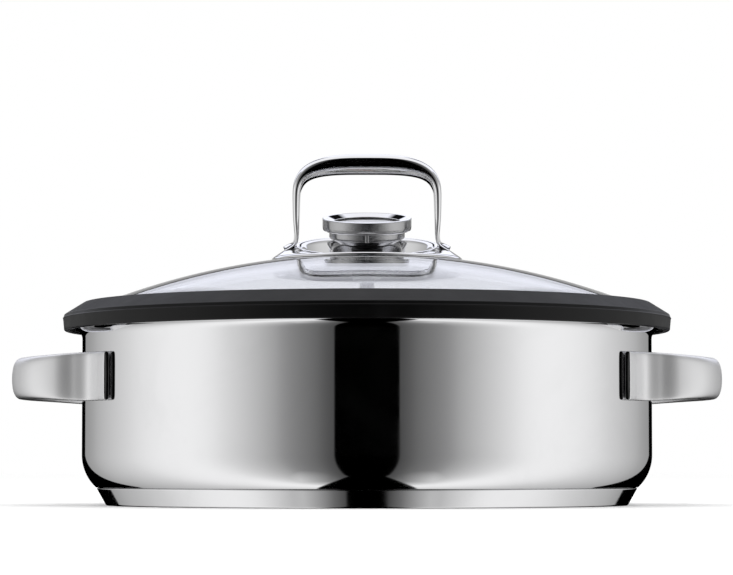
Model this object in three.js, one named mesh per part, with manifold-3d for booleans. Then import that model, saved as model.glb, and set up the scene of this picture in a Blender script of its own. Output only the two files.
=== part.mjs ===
import * as THREE from 'three';
import Module from 'manifold-3d';

const wasm = await Module();
wasm.setup();

// Driving dimensions in millimetres, +Z up, table at z = 0, front towards -Y.
const GAP = 0.3;                    // between pieces that sit on one another
const ROUND = 48;                   // facets of the large round pieces
const HUB = 36;                     // facets of the collar and its gasket
const FINE = 28;                    // facets of the thermometer

const POT_RADIUS = 141.3;           // outside of the straight wall
const POT_HEIGHT = 88;              // top of the pouring rim
const POT_WALL = 1;
const FLOOR_WALL = 0.8;
const CORNER_RADIUS = 22;           // wall to floor, outside
const CORNER_HEIGHT = 25;           // where the straight wall starts
const RIM_RADIUS = 5;               // curl of the pouring rim
const CAP_HEIGHT = 8.6;             // visible band of the base
const CAP_WALL = 0.6;
const CAP_SLANT = 4.8;
const CAP_STEP = 1;                 // joggle that takes the edge of the base cap

const GRIP_REACH = 35;              // side handle tip beyond the pot wall
const GRIP_HEIGHT = 20;
const GRIP_THICKNESS = 9;
const FLANGE_HEIGHT = 23.5;
const FLANGE_THICKNESS = 3;
const FLANGE_END = 72;              // half spread of the welded flanges
const ARM_SPREAD = 60;              // half spread where the arms leave the wall
const GRIP_LEVEL = 62.3;

const TRAY_LEVEL = 40;              // top of the perforated floor
const TRAY_SHEET = 0.8;
const TRAY_CLEARANCE = 4;           // tray rim to pot wall
const TRAY_LIP = 4;
const TRAY_DEPTH = 14;
const TRAY_CORNER = 6;
const HOLE_RADIUS = 4.5;
const HOLE_PITCH = 23;
const HOLE_RINGS = 4;
const FOOT_WIDTH = 14;
const FOOT_SHEET = 1.2;
const FOOT_TAB = 13;
const BAIL_WIRE = 1.6;              // wire radius
const BAIL_REACH = 36;
const BAIL_HALF = 30;
const BAIL_CORNER = 12;
const CLIP_WIDTH = 24;
const CLIP_SHEET = 1;
const CLIP_TAB = 5;
const PLAY = 0.35;                  // running clearance of turning pieces

const DOME_RADIUS = 360;            // curve of the lid glass
const GLASS_SEAT = 6.23;            // top of the glass edge above the pouring rim
const GLASS = 4;
const GLASS_HOLE = 40.5;
const SEAL_OVERHANG = 4.7;          // lid rim beyond the pouring rim
const SEAL_BAND = 6.2;              // straight outer face of the lid seal
const SEAL_SHOULDER = 1.8;          // rounded step from the outer face to the top face
const SEAL_COVER = 10;              // width of the sloping top face
const SEAL_PLUG = 7;                // plug below the pouring rim
const SEAL_SKIRT = 2;               // outer skirt below the pouring rim
const SEAL_LIP = 8;                 // width of the plug from the pot wall
const SEAL_WEB = 6.5;               // silicone outside the glass edge

const TILT = 11.5;                  // collar recess and thermometer lean, degrees
const COLLAR_RADIUS = 47.7;
const COLLAR_SHEET = 0.7;
const RECESS_RADIUS = 34;
const RECESS_RISE = 7.4;
const RECESS_DEPTH = 10.7;
const GASKET = 0.4;

const BRIDGE_HALF = 37;             // lid handle, outside half width
const BRIDGE_RISE = 50.7;           // lid handle above the crown of the glass
const BRIDGE_BAR = 10.2;
const BRIDGE_LEG = 3.4;
const BRIDGE_WIDTH = 16;
const BRIDGE_CORNER = 25;           // height of the rounded corners
const BRIDGE_FOOT = 6.2;            // feet beyond the legs

const BEZEL_RADIUS = 22.2;
const BEZEL_HEIGHT = 6.4;
const BEZEL_LEDGE = 3.4;            // ring that holds the lens down
const CASE_RADIUS = 18.9;
const CASE_WALL = 1.2;
const CASE_SEAT = 4.9;              // case floor that the dial lies on
const CASE_CHAMFER = 2.4;           // slope round the foot of the case
const CASE_DROP = 6;                // case below the bezel
const THERMO_TOP = 21;              // bezel face along the leaning axis
const GLAND_RADIUS = 12.4;          // flange of the gland under the case
const GLAND_FLANGE = 1.2;           // thickness of that flange
const GLAND_NECK = 8.2;
const GLAND_TAPER = 2.8;            // height of the cone from flange to neck
const STEM_RADIUS = 3.7;
const STEM_REACH = 34;              // stem below the recess floor
const NEEDLE_REST = 225;            // needle direction when cold, degrees

// Derived sizes
const floorCentre = POT_RADIUS - CORNER_RADIUS + CAP_STEP;
const innerCorner = CORNER_RADIUS - POT_WALL - CAP_STEP;
const floorTop = CORNER_HEIGHT - innerCorner;
const underCorner = innerCorner + FLOOR_WALL;
const seam = CAP_HEIGHT + GAP;
const rimStart = POT_HEIGHT - RIM_RADIUS - POT_WALL;
const arcReach = (radius, height) => Math.sqrt(radius ** 2 - (CORNER_HEIGHT - height) ** 2);
const seamRadius = POT_RADIUS - CORNER_RADIUS + arcReach(CORNER_RADIUS, seam);
const capTop = seamRadius - GAP;
const trayRim = POT_RADIUS - POT_WALL - TRAY_CLEARANCE;
const trayWall = trayRim - TRAY_LIP;
const trayFlat = trayWall - TRAY_CORNER;
const sealSeat = POT_HEIGHT + GAP;
const sealRadius = POT_RADIUS + RIM_RADIUS + SEAL_OVERHANG;
const glassEdge = sealRadius - SEAL_WEB;
const domeFall = (r) => DOME_RADIUS - Math.sqrt(DOME_RADIUS ** 2 - r ** 2);
const crown = POT_HEIGHT + GLASS_SEAT + domeFall(glassEdge);
const glassTop = (r) => crown - domeFall(r);
const collarEdge = glassTop(COLLAR_RADIUS) + GASKET + 2 * GAP + COLLAR_SHEET;
const lean = THREE.MathUtils.degToRad(TILT);
const pivot = new THREE.Vector3(0, 0, crown - 2.2);
const recessFloor = RECESS_RISE - RECESS_DEPTH;
const leaning = new THREE.Matrix4().makeRotationX(lean).setPosition(pivot);

const finish = (color, metalness, roughness, extra = {}) => (
  new THREE.MeshStandardMaterial({ color, metalness, roughness, ...extra }));
const polished = finish(0xd4d7da, 1, 0.12);
const satin = finish(0xb9bcbf, 1, 0.38);
const aluminium = finish(0xaeb1b4, 1, 0.5);
const silicone = finish(0x2b2d31, 0, 0.75);
const clear = finish(0xdfe6ee, 0, 0.05, { transparent: true, opacity: 0.3 });
const dialWhite = finish(0xf3f3ef, 0, 0.6);
const needleRed = finish(0xb3201b, 0, 0.5);
const bimetal = finish(0xb58a4a, 1, 0.4);

function arc(centreR, centreZ, radius, from, to, steps) {
  return Array.from({ length: steps + 1 }, (_, i) => {
    const angle = THREE.MathUtils.degToRad(from + ((to - from) * i) / steps);
    return [centreR + radius * Math.cos(angle), centreZ + radius * Math.sin(angle)];
  });
}

// Profile of [radius, height] points, closed on itself or running from axis to axis.
function revolve(profile, facets) {
  const area = profile.reduce((sum, [r, z], i) => {
    const [nextR, nextZ] = profile[(i + 1) % profile.length];
    return sum + r * nextZ - nextR * z;
  }, 0);
  const points = profile.map(([r, z]) => new THREE.Vector2(r, z));
  if (area < 0) points.reverse();
  if (points[0].x > 0) points.push(points[0].clone());
  return new THREE.LatheGeometry(points, facets).rotateX(Math.PI / 2);
}

function indexed(points, faces) {
  const volume = faces.reduce((sum, [a, b, c]) => (
    sum + points[a].dot(points[b].clone().cross(points[c]))), 0);
  const geometry = new THREE.BufferGeometry();
  geometry.setAttribute('position', new THREE.Float32BufferAttribute(
    points.flatMap((p) => [p.x, p.y, p.z]), 3));
  geometry.setIndex(faces.flatMap(([a, b, c]) => (volume > 0 ? [a, b, c] : [a, c, b])));
  geometry.computeVertexNormals();
  return geometry;
}

// Skin over a row of equal rings, joined end to end or capped at both ends.
function loft(rings, joined = false) {
  const sides = rings[0].length;
  const points = rings.flat();
  const faces = [];
  const spans = joined ? rings.length : rings.length - 1;
  for (let i = 0; i < spans; i += 1) {
    const here = i * sides;
    const next = ((i + 1) % rings.length) * sides;
    for (let j = 0; j < sides; j += 1) {
      const k = (j + 1) % sides;
      faces.push([here + j, here + k, next + k], [here + j, next + k, next + j]);
    }
  }
  if (!joined) {
    [0, rings.length - 1].forEach((end) => {
      const middle = rings[end].reduce((sum, p) => sum.add(p), new THREE.Vector3());
      const centre = points.push(middle.divideScalar(sides)) - 1;
      for (let j = 0; j < sides; j += 1) {
        const a = end * sides + j;
        const b = end * sides + ((j + 1) % sides);
        faces.push(end === 0 ? [centre, b, a] : [centre, a, b]);
      }
    });
  }
  return indexed(points, faces);
}

// Ring of points round a station: half sizes along two directions, power 2 is an oval.
function oval(centre, across, up, halfAcross, halfUp, power, sides) {
  const bend = (value) => Math.sign(value) * Math.abs(value) ** (2 / power);
  return Array.from({ length: sides }, (_, i) => {
    const angle = ((i + 0.5) / sides) * 2 * Math.PI;
    return centre.clone()
      .addScaledVector(across, halfAcross * bend(Math.cos(angle)))
      .addScaledVector(up, halfUp * bend(Math.sin(angle)));
  });
}

function solid(geometry) {
  const position = (geometry.index ? geometry.toNonIndexed() : geometry).attributes.position;
  const mesh = new wasm.Mesh({
    numProp: 3,
    vertProperties: new Float32Array(position.array),
    triVerts: Uint32Array.from({ length: position.count }, (_, i) => i),
  });
  mesh.merge();
  return new wasm.Manifold(mesh);
}

function surface(body) {
  const { vertProperties, triVerts } = body.getMesh();
  const geometry = new THREE.BufferGeometry();
  geometry.setAttribute('position', new THREE.BufferAttribute(new Float32Array(vertProperties), 3));
  geometry.setIndex(Array.from(triVerts));
  geometry.computeVertexNormals();
  return geometry;
}

const ring = (radius, count, x = 0, y = 0, turn = 0) => Array.from({ length: count }, (_, i) => {
  const angle = turn + (i / count) * 2 * Math.PI;
  return new THREE.Vector2(x + radius * Math.cos(angle), y + radius * Math.sin(angle));
});

const assembly = new THREE.Group();
assembly.name = 'steamer_pot';
function add(name, geometry, material) {
  const mesh = new THREE.Mesh(geometry, material);
  mesh.name = name;
  assembly.add(mesh);
}

// Pot, base and side handles

const seamTurn = (radius) => -THREE.MathUtils.radToDeg(Math.asin((CORNER_HEIGHT - seam) / radius));
add('pot_body', revolve([
  [0, CORNER_HEIGHT - underCorner],
  ...arc(floorCentre, CORNER_HEIGHT, underCorner, -90, seamTurn(underCorner), 2),
  ...arc(POT_RADIUS - CORNER_RADIUS, CORNER_HEIGHT, CORNER_RADIUS, seamTurn(CORNER_RADIUS), 0, 3),
  ...arc(POT_RADIUS + RIM_RADIUS, rimStart, RIM_RADIUS, 180, 90, 2),
  ...arc(POT_RADIUS + RIM_RADIUS, rimStart, RIM_RADIUS + POT_WALL, 90, 180, 2),
  ...arc(floorCentre, CORNER_HEIGHT, innerCorner, 0, -90, 3),
  [0, floorTop],
], ROUND), polished);

const capRadius = (height) => capTop - CAP_SLANT * (1 - height / CAP_HEIGHT);
add('base_cap', revolve([
  [0, 0],
  [capRadius(0) - 1.2, 0],
  [capRadius(0) + 0.1, 1],
  [capTop, CAP_HEIGHT],
  [capTop - CAP_WALL, CAP_HEIGHT],
  [capRadius(CAP_WALL) - CAP_WALL - 0.6, CAP_WALL],
  [0, CAP_WALL],
], ROUND), polished);

const coreInset = CAP_WALL + GAP;
const coreRise = CAP_HEIGHT - 1.6;
const coreArc = underCorner + GAP;
const coreTurn = -THREE.MathUtils.radToDeg(Math.asin((CORNER_HEIGHT - coreRise) / coreArc));
add('base_core', revolve([
  [0, coreInset],
  [capRadius(coreInset) - coreInset - 0.8, coreInset],
  [capRadius(coreRise) - coreInset, coreRise],
  ...arc(floorCentre, CORNER_HEIGHT, coreArc, coreTurn, -90, 2),
  [0, CORNER_HEIGHT - coreArc],
], ROUND), aluminium);

function sideHandle(side) {
  const shell = POT_RADIUS + GAP + FLANGE_THICKNESS / 2;
  const tip = POT_RADIUS + GRIP_REACH - GRIP_THICKNESS / 2;
  const onWall = (y) => [Math.sqrt(shell ** 2 - y ** 2), y];
  const arm = onWall(ARM_SPREAD)[0];
  const bow = tip - arm;
  const half = [
    onWall(FLANGE_END),
    onWall(FLANGE_END * 0.6 + ARM_SPREAD * 0.4),
    onWall(ARM_SPREAD * 1.07),
    [arm + bow * 0.07, ARM_SPREAD * 0.965],
    [arm + bow * 0.25, ARM_SPREAD * 0.915],
    [arm + bow * 0.48, ARM_SPREAD * 0.86],
    [arm + bow * 0.74, ARM_SPREAD * 0.71],
    [arm + bow * 0.92, ARM_SPREAD * 0.46],
    [arm + bow * 0.985, ARM_SPREAD * 0.2],
  ];
  const plan = [...half, [tip, 0], ...half.map(([x, y]) => [x, -y]).reverse()];
  const curve = new THREE.CatmullRomCurve3(
    plan.map(([x, y]) => new THREE.Vector3(side * x, y, GRIP_LEVEL)), false, 'centripetal');
  const up = new THREE.Vector3(0, 0, 1);
  const stations = 30;
  return loft(Array.from({ length: stations + 1 }, (_, i) => {
    const at = i / stations;
    const centre = curve.getPointAt(at);
    const across = curve.getTangentAt(at).cross(up).normalize();
    const out = THREE.MathUtils.smoothstep(Math.abs(centre.x), arm, tip);
    const end = i === 0 || i === stations ? 0.8 : 1;
    return oval(centre, across, up,
      THREE.MathUtils.lerp(FLANGE_THICKNESS, GRIP_THICKNESS, out ** 1.5) / 2,
      (THREE.MathUtils.lerp(FLANGE_HEIGHT, GRIP_HEIGHT, out) / 2) * end,
      THREE.MathUtils.lerp(6, 2.3, out), 10);
  }));
}
add('side_handle_left', sideHandle(-1), satin);
add('side_handle_right', sideHandle(1), satin);

// Steam tray: perforated floor, upturned wall with a flat lip, feet and folding wire bails

const trayFloor = new THREE.Shape(ring(trayFlat, ROUND));
for (let row = 0; row <= HOLE_RINGS; row += 1) {
  ring(row * HOLE_PITCH, Math.max(1, 6 * row), 0, 0, row * 0.2).forEach((at) => {
    trayFloor.holes.push(new THREE.Path(ring(HOLE_RADIUS, 6, at.x, at.y)));
  });
}
const trayPlate = new THREE.ExtrudeGeometry(trayFloor, { depth: TRAY_SHEET, bevelEnabled: false })
  .translate(0, 0, TRAY_LEVEL - TRAY_SHEET);
const trayLip = TRAY_LEVEL + TRAY_DEPTH;
const bend = TRAY_CORNER + TRAY_SHEET;
const trayHoop = revolve([
  [trayFlat - 4, TRAY_LEVEL],
  [trayFlat - 4, TRAY_LEVEL - TRAY_SHEET],
  ...arc(trayFlat, TRAY_LEVEL + TRAY_CORNER, bend, -90, 0, 3),
  [trayFlat + bend, trayLip - TRAY_SHEET],
  [trayRim, trayLip - TRAY_SHEET],
  [trayRim, trayLip],
  [trayWall, trayLip],
  ...arc(trayFlat, TRAY_LEVEL + TRAY_CORNER, TRAY_CORNER, 0, -90, 3),
], ROUND).rotateZ(Math.PI / 2);
add('steam_tray', surface(solid(trayPlate).add(solid(trayHoop))), satin);

const strip = (points, sheet, width) => {
  const outline = points.map((p) => new THREE.Vector2(...p));
  const normals = outline.map((p, i) => {
    const before = outline[Math.max(i - 1, 0)];
    const after = outline[Math.min(i + 1, outline.length - 1)];
    return new THREE.Vector2(before.y - after.y, after.x - before.x).normalize();
  });
  const edge = (sign) => outline.map((p, i) => p.clone().addScaledVector(normals[i], (sign * sheet) / 2));
  return new THREE.ExtrudeGeometry(new THREE.Shape([...edge(1), ...edge(-1).reverse()]),
    { depth: width, bevelEnabled: false }).translate(0, 0, -width / 2).rotateX(Math.PI / 2);
};

const footTop = TRAY_LEVEL - TRAY_SHEET - GAP - FOOT_SHEET / 2;
const footSole = floorTop + GAP + FOOT_SHEET / 2;
const footBend = 3;
const footLine = [
  [FOOT_TAB, footTop],
  ...arc(footBend, footTop - footBend, footBend, 90, 180, 3),
  ...arc(-footBend, footSole + footBend, footBend, 0, -90, 3),
  [-FOOT_TAB * 0.7, footSole],
];
const footRadius = HOLE_RINGS * HOLE_PITCH + HOLE_RADIUS + 3;
[['front_left', 225], ['front_right', 315], ['back_left', 135], ['back_right', 45]].forEach(([name, turn]) => {
  add(`tray_foot_${name}`, strip(footLine, FOOT_SHEET, FOOT_WIDTH)
    .translate(footRadius, 0, 0).rotateZ(THREE.MathUtils.degToRad(turn)), satin);
});

const bailLevel = TRAY_LEVEL + GAP + BAIL_WIRE;
const tunnel = BAIL_WIRE + PLAY + CLIP_SHEET / 2;
const bailAxis = trayFlat - tunnel - CLIP_TAB - 1;
const clipFoot = TRAY_LEVEL + GAP + CLIP_SHEET / 2;
const clipLine = [
  [-tunnel - CLIP_TAB, clipFoot],
  [-tunnel - 0.4, clipFoot],
  ...arc(0, bailLevel, tunnel, 180, 0, 6),
  [tunnel + 0.4, clipFoot],
  [tunnel + CLIP_TAB, clipFoot],
];

function bail(side) {
  const corner = (x, y, from) => arc(x, y, BAIL_CORNER, from, from + 90, 4);
  const near = arc(-3, BAIL_HALF - 3, 3, 0, 90, 2);
  const far = corner(-BAIL_REACH + BAIL_CORNER, BAIL_HALF - BAIL_CORNER, 90);
  const half = [...near, ...far];
  const loop = [...half, ...half.map(([x, y]) => [x, -y]).reverse()];
  const up = new THREE.Vector3(0, 0, 1);
  const spots = loop.map(([x, y]) => new THREE.Vector3(side * (bailAxis + x), y, bailLevel));
  return loft(spots.map((spot, i) => {
    const before = spots[(i + spots.length - 1) % spots.length];
    const after = spots[(i + 1) % spots.length];
    const across = after.clone().sub(before).cross(up).normalize();
    return oval(spot, across, up, BAIL_WIRE, BAIL_WIRE, 2, 8);
  }), true);
}
[['left', -1], ['right', 1]].forEach(([name, side]) => {
  add(`bail_clip_${name}`, strip(clipLine, CLIP_SHEET, CLIP_WIDTH).translate(side * bailAxis, 0, 0), satin);
  add(`tray_bail_${name}`, bail(side), satin);
});

// Lid: glass dome, silicone rim, collar with its leaning recess, gasket and handle

const domeSteps = 4;
const domeRadii = Array.from({ length: domeSteps + 1 }, (_, i) => (
  GLASS_HOLE + ((glassEdge - GLASS_HOLE) * i) / domeSteps));
add('lid_glass', revolve([
  ...domeRadii.map((r) => [r, glassTop(r) - GLASS]),
  ...domeRadii.map((r) => [r, glassTop(r)]).reverse(),
], ROUND), clear);

const rimOuter = POT_RADIUS + RIM_RADIUS;
const potInside = POT_RADIUS - POT_WALL;
const skirtFoot = POT_HEIGHT - SEAL_SKIRT;
const sealCrease = skirtFoot + SEAL_BAND;
const coverInner = sealRadius - 1.2 - SEAL_COVER;
const coverTop = sealCrease + SEAL_SHOULDER + SEAL_COVER * 0.66;
const lipInner = potInside - SEAL_LIP;
add('lid_seal', revolve([
  [rimOuter + 1, skirtFoot],
  [sealRadius - 1, skirtFoot],
  [sealRadius, skirtFoot + 1.2],
  [sealRadius, sealCrease],
  [sealRadius - SEAL_SHOULDER * 0.45, sealCrease + SEAL_SHOULDER],
  [coverInner, coverTop],
  [coverInner - 1, coverTop - 0.6],
  [coverInner - 1, glassTop(coverInner - 1) + GAP],
  [glassEdge + GAP, glassTop(glassEdge + GAP) + GAP],
  [glassEdge + GAP, glassTop(glassEdge + GAP) - GLASS - GAP],
  [lipInner, glassTop(lipInner) - GLASS - GAP],
  [lipInner, sealSeat],
  [lipInner + 1, POT_HEIGHT - SEAL_PLUG],
  [potInside - SEAL_LIP * 0.56, POT_HEIGHT - SEAL_PLUG],
  [potInside - SEAL_LIP * 0.25, sealSeat],
  [rimOuter + 1, sealSeat],
], ROUND), silicone);

const onTilt = (radius, turn, along) => new THREE.Vector3(
  radius * Math.cos(turn), radius * Math.sin(turn), along).applyMatrix4(leaning);
const flatPoint = (radius, turn, z) => new THREE.Vector3(
  radius * Math.cos(turn), radius * Math.sin(turn), z);
const drop = (point, by) => point.clone().add(new THREE.Vector3(0, 0, -by));
const recessFoot = RECESS_RADIUS - 4;
const collarBore = STEM_RADIUS + GAP;
function flank(turn, share) {
  const edge = flatPoint(COLLAR_RADIUS - 0.6, turn, collarEdge);
  const rim = onTilt(RECESS_RADIUS + 0.5, turn, RECESS_RISE - 0.4);
  return edge.lerp(rim, share).add(new THREE.Vector3(0, 0, 3.6 * share * (1 - share)));
}
add('lid_collar', loft(Array.from({ length: HUB }, (_, i) => {
  const turn = (i / HUB) * 2 * Math.PI;
  return [
    flatPoint(COLLAR_RADIUS - 1.2, turn, collarEdge - COLLAR_SHEET),
    flatPoint(COLLAR_RADIUS, turn, collarEdge - COLLAR_SHEET),
    flank(turn, 0),
    flank(turn, 0.35),
    flank(turn, 0.7),
    flank(turn, 1),
    onTilt(RECESS_RADIUS - 0.2, turn, RECESS_RISE),
    onTilt(RECESS_RADIUS - 0.9, turn, RECESS_RISE - 0.5),
    onTilt(recessFoot + 0.6, turn, recessFloor + 1.6),
    onTilt(recessFoot - 1.6, turn, recessFloor),
    onTilt(collarBore, turn, recessFloor),
    onTilt(collarBore, turn, recessFloor - COLLAR_SHEET),
    onTilt(recessFoot - 1.2, turn, recessFloor - COLLAR_SHEET),
    onTilt(recessFoot + 1.4, turn, recessFloor + 1.4),
    onTilt(RECESS_RADIUS - 0.1, turn, RECESS_RISE - 1.4),
    drop(flank(turn, 0.7), COLLAR_SHEET),
    drop(flank(turn, 0.35), COLLAR_SHEET),
  ];
}), true), polished);

const gasketTop = collarEdge - COLLAR_SHEET - GAP;
const gasketInner = COLLAR_RADIUS - 2.2;
const gasketOuter = COLLAR_RADIUS - 0.3;
add('collar_gasket', revolve([
  [gasketInner, glassTop(gasketInner) + GAP],
  [gasketOuter, glassTop(gasketOuter) + GAP],
  [gasketOuter, gasketTop],
  [gasketInner, gasketTop],
], HUB), silicone);

function lidHandle() {
  const legX = BRIDGE_HALF - BRIDGE_LEG / 2;
  const bridgeTop = crown + BRIDGE_RISE;
  const legTop = bridgeTop - BRIDGE_CORNER;
  const barLevel = bridgeTop - BRIDGE_BAR / 2;
  const rest = (x) => flank(0, (COLLAR_RADIUS - 0.6 - x) / (COLLAR_RADIUS - RECESS_RADIUS - 1.1)).z;
  const footRise = (x) => rest(x) + 0.8 + BRIDGE_LEG * 0.24;
  const half = [
    { x: legX + BRIDGE_FOOT, z: footRise(legX + BRIDGE_FOOT), sheet: BRIDGE_LEG * 0.46 },
    { x: legX + BRIDGE_FOOT * 0.55, z: footRise(legX + BRIDGE_FOOT * 0.55), sheet: BRIDGE_LEG * 0.48 },
    { x: legX + BRIDGE_FOOT * 0.14, z: footRise(legX + BRIDGE_FOOT * 0.14) + 0.4, sheet: BRIDGE_LEG * 0.56 },
    { x: legX, z: footRise(legX) + 2.4, sheet: BRIDGE_LEG * 0.66 },
    { x: legX, z: legTop - BRIDGE_CORNER * 0.32, sheet: BRIDGE_LEG },
  ];
  const steps = 9;
  for (let i = 0; i <= steps; i += 1) {
    const angle = (i / steps) * (Math.PI / 2);
    half.push({
      x: legX * Math.max(Math.cos(angle), 0) ** (2 / 3.3),
      z: legTop + (barLevel - legTop) * Math.sin(angle) ** (2 / 3.3),
      sheet: THREE.MathUtils.lerp(BRIDGE_LEG * 1.1, BRIDGE_BAR, Math.sin(angle) ** 1.4),
    });
  }
  half[half.length - 1].x = 0;
  const line = [...half, ...half.slice(0, -1).reverse().map((s) => ({ ...s, x: -s.x }))];
  const along = new THREE.Vector3(0, 1, 0);
  return loft(line.map((station, i) => {
    const before = line[Math.max(i - 1, 0)];
    const after = line[Math.min(i + 1, line.length - 1)];
    const across = new THREE.Vector3(after.x - before.x, 0, after.z - before.z).cross(along).normalize();
    return oval(new THREE.Vector3(station.x, 0, station.z), across, along,
      station.sheet / 2, BRIDGE_WIDTH / 2, station.z > legTop ? 2.5 : 3.5, 10);
  }));
}
add('lid_handle', lidHandle(), polished);

// Thermometer, drawn upright about its own axis and then leaned into the recess

const bezelFoot = THERMO_TOP - BEZEL_HEIGHT;
const caseFoot = bezelFoot - CASE_DROP;
const caseFloor = caseFoot + CASE_SEAT;
const dialTop = caseFloor + GAP + 1;
const needleLevel = dialTop + 0.7;
const caseTop = needleLevel + 1.6;
const lensTop = caseTop + GAP + 1.4;
const stemBore = STEM_RADIUS - 0.8;
const stemTip = recessFloor - STEM_REACH;
const glandFoot = recessFloor + GAP;
const nutTop = recessFloor - COLLAR_SHEET - 2 * GAP - 1;
const leant = (geometry) => geometry.applyMatrix4(leaning);

add('thermometer_case', leant(revolve([
  [STEM_RADIUS + GAP, caseFoot],
  [CASE_RADIUS * 0.77, caseFoot],
  [CASE_RADIUS - CASE_WALL, caseFoot + CASE_CHAMFER * 0.5],
  [CASE_RADIUS, caseFoot + CASE_CHAMFER],
  [CASE_RADIUS, caseTop],
  [CASE_RADIUS - CASE_WALL, caseTop],
  [CASE_RADIUS - CASE_WALL, caseFloor],
  [STEM_RADIUS + GAP, caseFloor],
], FINE)), satin);

add('thermometer_bezel', leant(revolve([
  [CASE_RADIUS + GAP, bezelFoot],
  [BEZEL_RADIUS - 1.4, bezelFoot],
  [BEZEL_RADIUS, bezelFoot + 1],
  [BEZEL_RADIUS, THERMO_TOP - 0.4],
  [BEZEL_RADIUS - 0.5, THERMO_TOP],
  [CASE_RADIUS + 1.3, THERMO_TOP],
  [CASE_RADIUS - BEZEL_LEDGE, lensTop + GAP],
  [CASE_RADIUS + GAP, lensTop + GAP],
], FINE)), satin);

add('thermometer_lens', leant(revolve([
  [0, caseTop + GAP], [CASE_RADIUS, caseTop + GAP], [CASE_RADIUS, lensTop], [0, lensTop],
], FINE)), clear);

const dialRadius = CASE_RADIUS - CASE_WALL - GAP;
add('thermometer_dial', leant(revolve([
  [1.2, dialTop - 1], [dialRadius, dialTop - 1], [dialRadius, dialTop], [1.2, dialTop],
], FINE)), dialWhite);

add('thermometer_gland', leant(revolve([
  [STEM_RADIUS + GAP, glandFoot],
  [GLAND_NECK, glandFoot],
  [GLAND_NECK, caseFoot - GLAND_FLANGE - GLAND_TAPER],
  [GLAND_RADIUS, caseFoot - GLAND_FLANGE],
  [GLAND_RADIUS, caseFoot - GAP],
  [STEM_RADIUS + GAP, caseFoot - GAP],
], FINE)), silicone);

add('thermometer_stem', leant(revolve([
  [0, stemTip],
  [STEM_RADIUS - 1.2, stemTip],
  [STEM_RADIUS, stemTip + 1.2],
  [STEM_RADIUS, caseFloor],
  [stemBore, caseFloor],
  [stemBore, stemTip + 1.6],
  [0, stemTip + 1.6],
], FINE)), satin);

add('thermometer_washer', leant(revolve([
  [STEM_RADIUS + GAP, nutTop + GAP],
  [STEM_RADIUS + 4.8, nutTop + GAP],
  [STEM_RADIUS + 4.8, nutTop + GAP + 1],
  [STEM_RADIUS + GAP, nutTop + GAP + 1],
], FINE)), silicone);

const nutShape = new THREE.Shape(ring(STEM_RADIUS + 4.4, 6));
nutShape.holes.push(new THREE.Path(ring(STEM_RADIUS + GAP, FINE).reverse()));
add('thermometer_nut', leant(new THREE.ExtrudeGeometry(nutShape, { depth: 3, bevelEnabled: false })
  .translate(0, 0, nutTop - 3)), polished);

const coilTurns = 5;
const coilSteps = 8;
const coilPitch = 1.8;
const coilWire = 0.4;
const coilRadius = stemBore - coilWire - 0.4;
const coilFoot = stemTip + 1.6 + GAP + coilWire;
const coilLine = Array.from({ length: coilTurns * coilSteps + 1 }, (_, i) => {
  const rounds = i / coilSteps;
  const turn = rounds * 2 * Math.PI;
  return new THREE.Vector3(
    coilRadius * Math.cos(turn), coilRadius * Math.sin(turn), coilFoot + rounds * coilPitch);
});
const coilGap = coilLine.reduce((least, p, i) => coilLine.slice(i + 6).reduce((near, q) => (
  Math.min(near, p.distanceTo(q) - 2 * coilWire)), least), Infinity);
console.log(`bimetal coil, least gap to itself ${coilGap.toFixed(2)} mm`);
const coilRings = coilLine.map((p) => oval(p, new THREE.Vector3(p.x, p.y, 0).normalize(),
  new THREE.Vector3(0, 0, 1), coilWire, coilWire, 2, 4));
add('bimetal_coil', leant(loft(coilRings)), bimetal);

const shaftRadius = coilRadius - coilWire - 0.5;
const hubFoot = needleLevel - 0.4;
add('needle_shaft', leant(revolve([
  [0, coilFoot], [shaftRadius, coilFoot], [shaftRadius, hubFoot - GAP], [0, hubFoot - GAP],
], 16)), satin);

const needleShape = new THREE.Shape([[-5.5, -0.9], [0, -1.3], [14, -0.25], [14, 0.25], [0, 1.3], [-5.5, 0.9]]
  .map((p) => new THREE.Vector2(...p)));
const needleBlade = new THREE.ExtrudeGeometry(needleShape, { depth: 0.5, bevelEnabled: false })
  .translate(0, 0, needleLevel);
const needleHub = revolve([[0, hubFoot], [1.9, hubFoot], [1.9, needleLevel + 0.9], [0, needleLevel + 0.9]], 16);
add('needle', leant(surface(solid(needleBlade).add(solid(needleHub)))
  .rotateZ(THREE.MathUtils.degToRad(NEEDLE_REST))), needleRed);

export default assembly;
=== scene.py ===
"""A low steamer pot with a domed glass lid and a dial thermometer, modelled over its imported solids."""
import math

import bmesh
import bpy
from mathutils import Matrix, Vector


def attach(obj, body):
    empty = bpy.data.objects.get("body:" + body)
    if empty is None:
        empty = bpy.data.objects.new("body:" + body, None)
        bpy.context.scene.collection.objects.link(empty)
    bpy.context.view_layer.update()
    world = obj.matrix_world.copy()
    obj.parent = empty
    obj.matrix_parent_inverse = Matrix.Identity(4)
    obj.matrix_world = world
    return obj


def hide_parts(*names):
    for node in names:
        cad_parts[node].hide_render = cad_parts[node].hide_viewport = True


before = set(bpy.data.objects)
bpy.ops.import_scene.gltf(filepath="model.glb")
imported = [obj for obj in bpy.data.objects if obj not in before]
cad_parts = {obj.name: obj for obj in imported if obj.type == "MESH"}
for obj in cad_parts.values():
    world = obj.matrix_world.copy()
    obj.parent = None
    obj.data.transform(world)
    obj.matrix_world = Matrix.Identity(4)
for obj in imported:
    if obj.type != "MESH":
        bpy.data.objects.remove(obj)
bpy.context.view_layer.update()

# Sizes in millimetres, +Z up, table at z = 0, front towards -Y
MM = 0.001
GAP = 0.3
# Points this near to each other, in metres, are one
MERGE = 2e-6
# How far a solid's flat facets lie inside its true curve; smooth pieces stay inside them
FACET = 0.21
# How far past a rounded corner its faces are held flat, as a share of its radius
HOLD = 0.3

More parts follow.
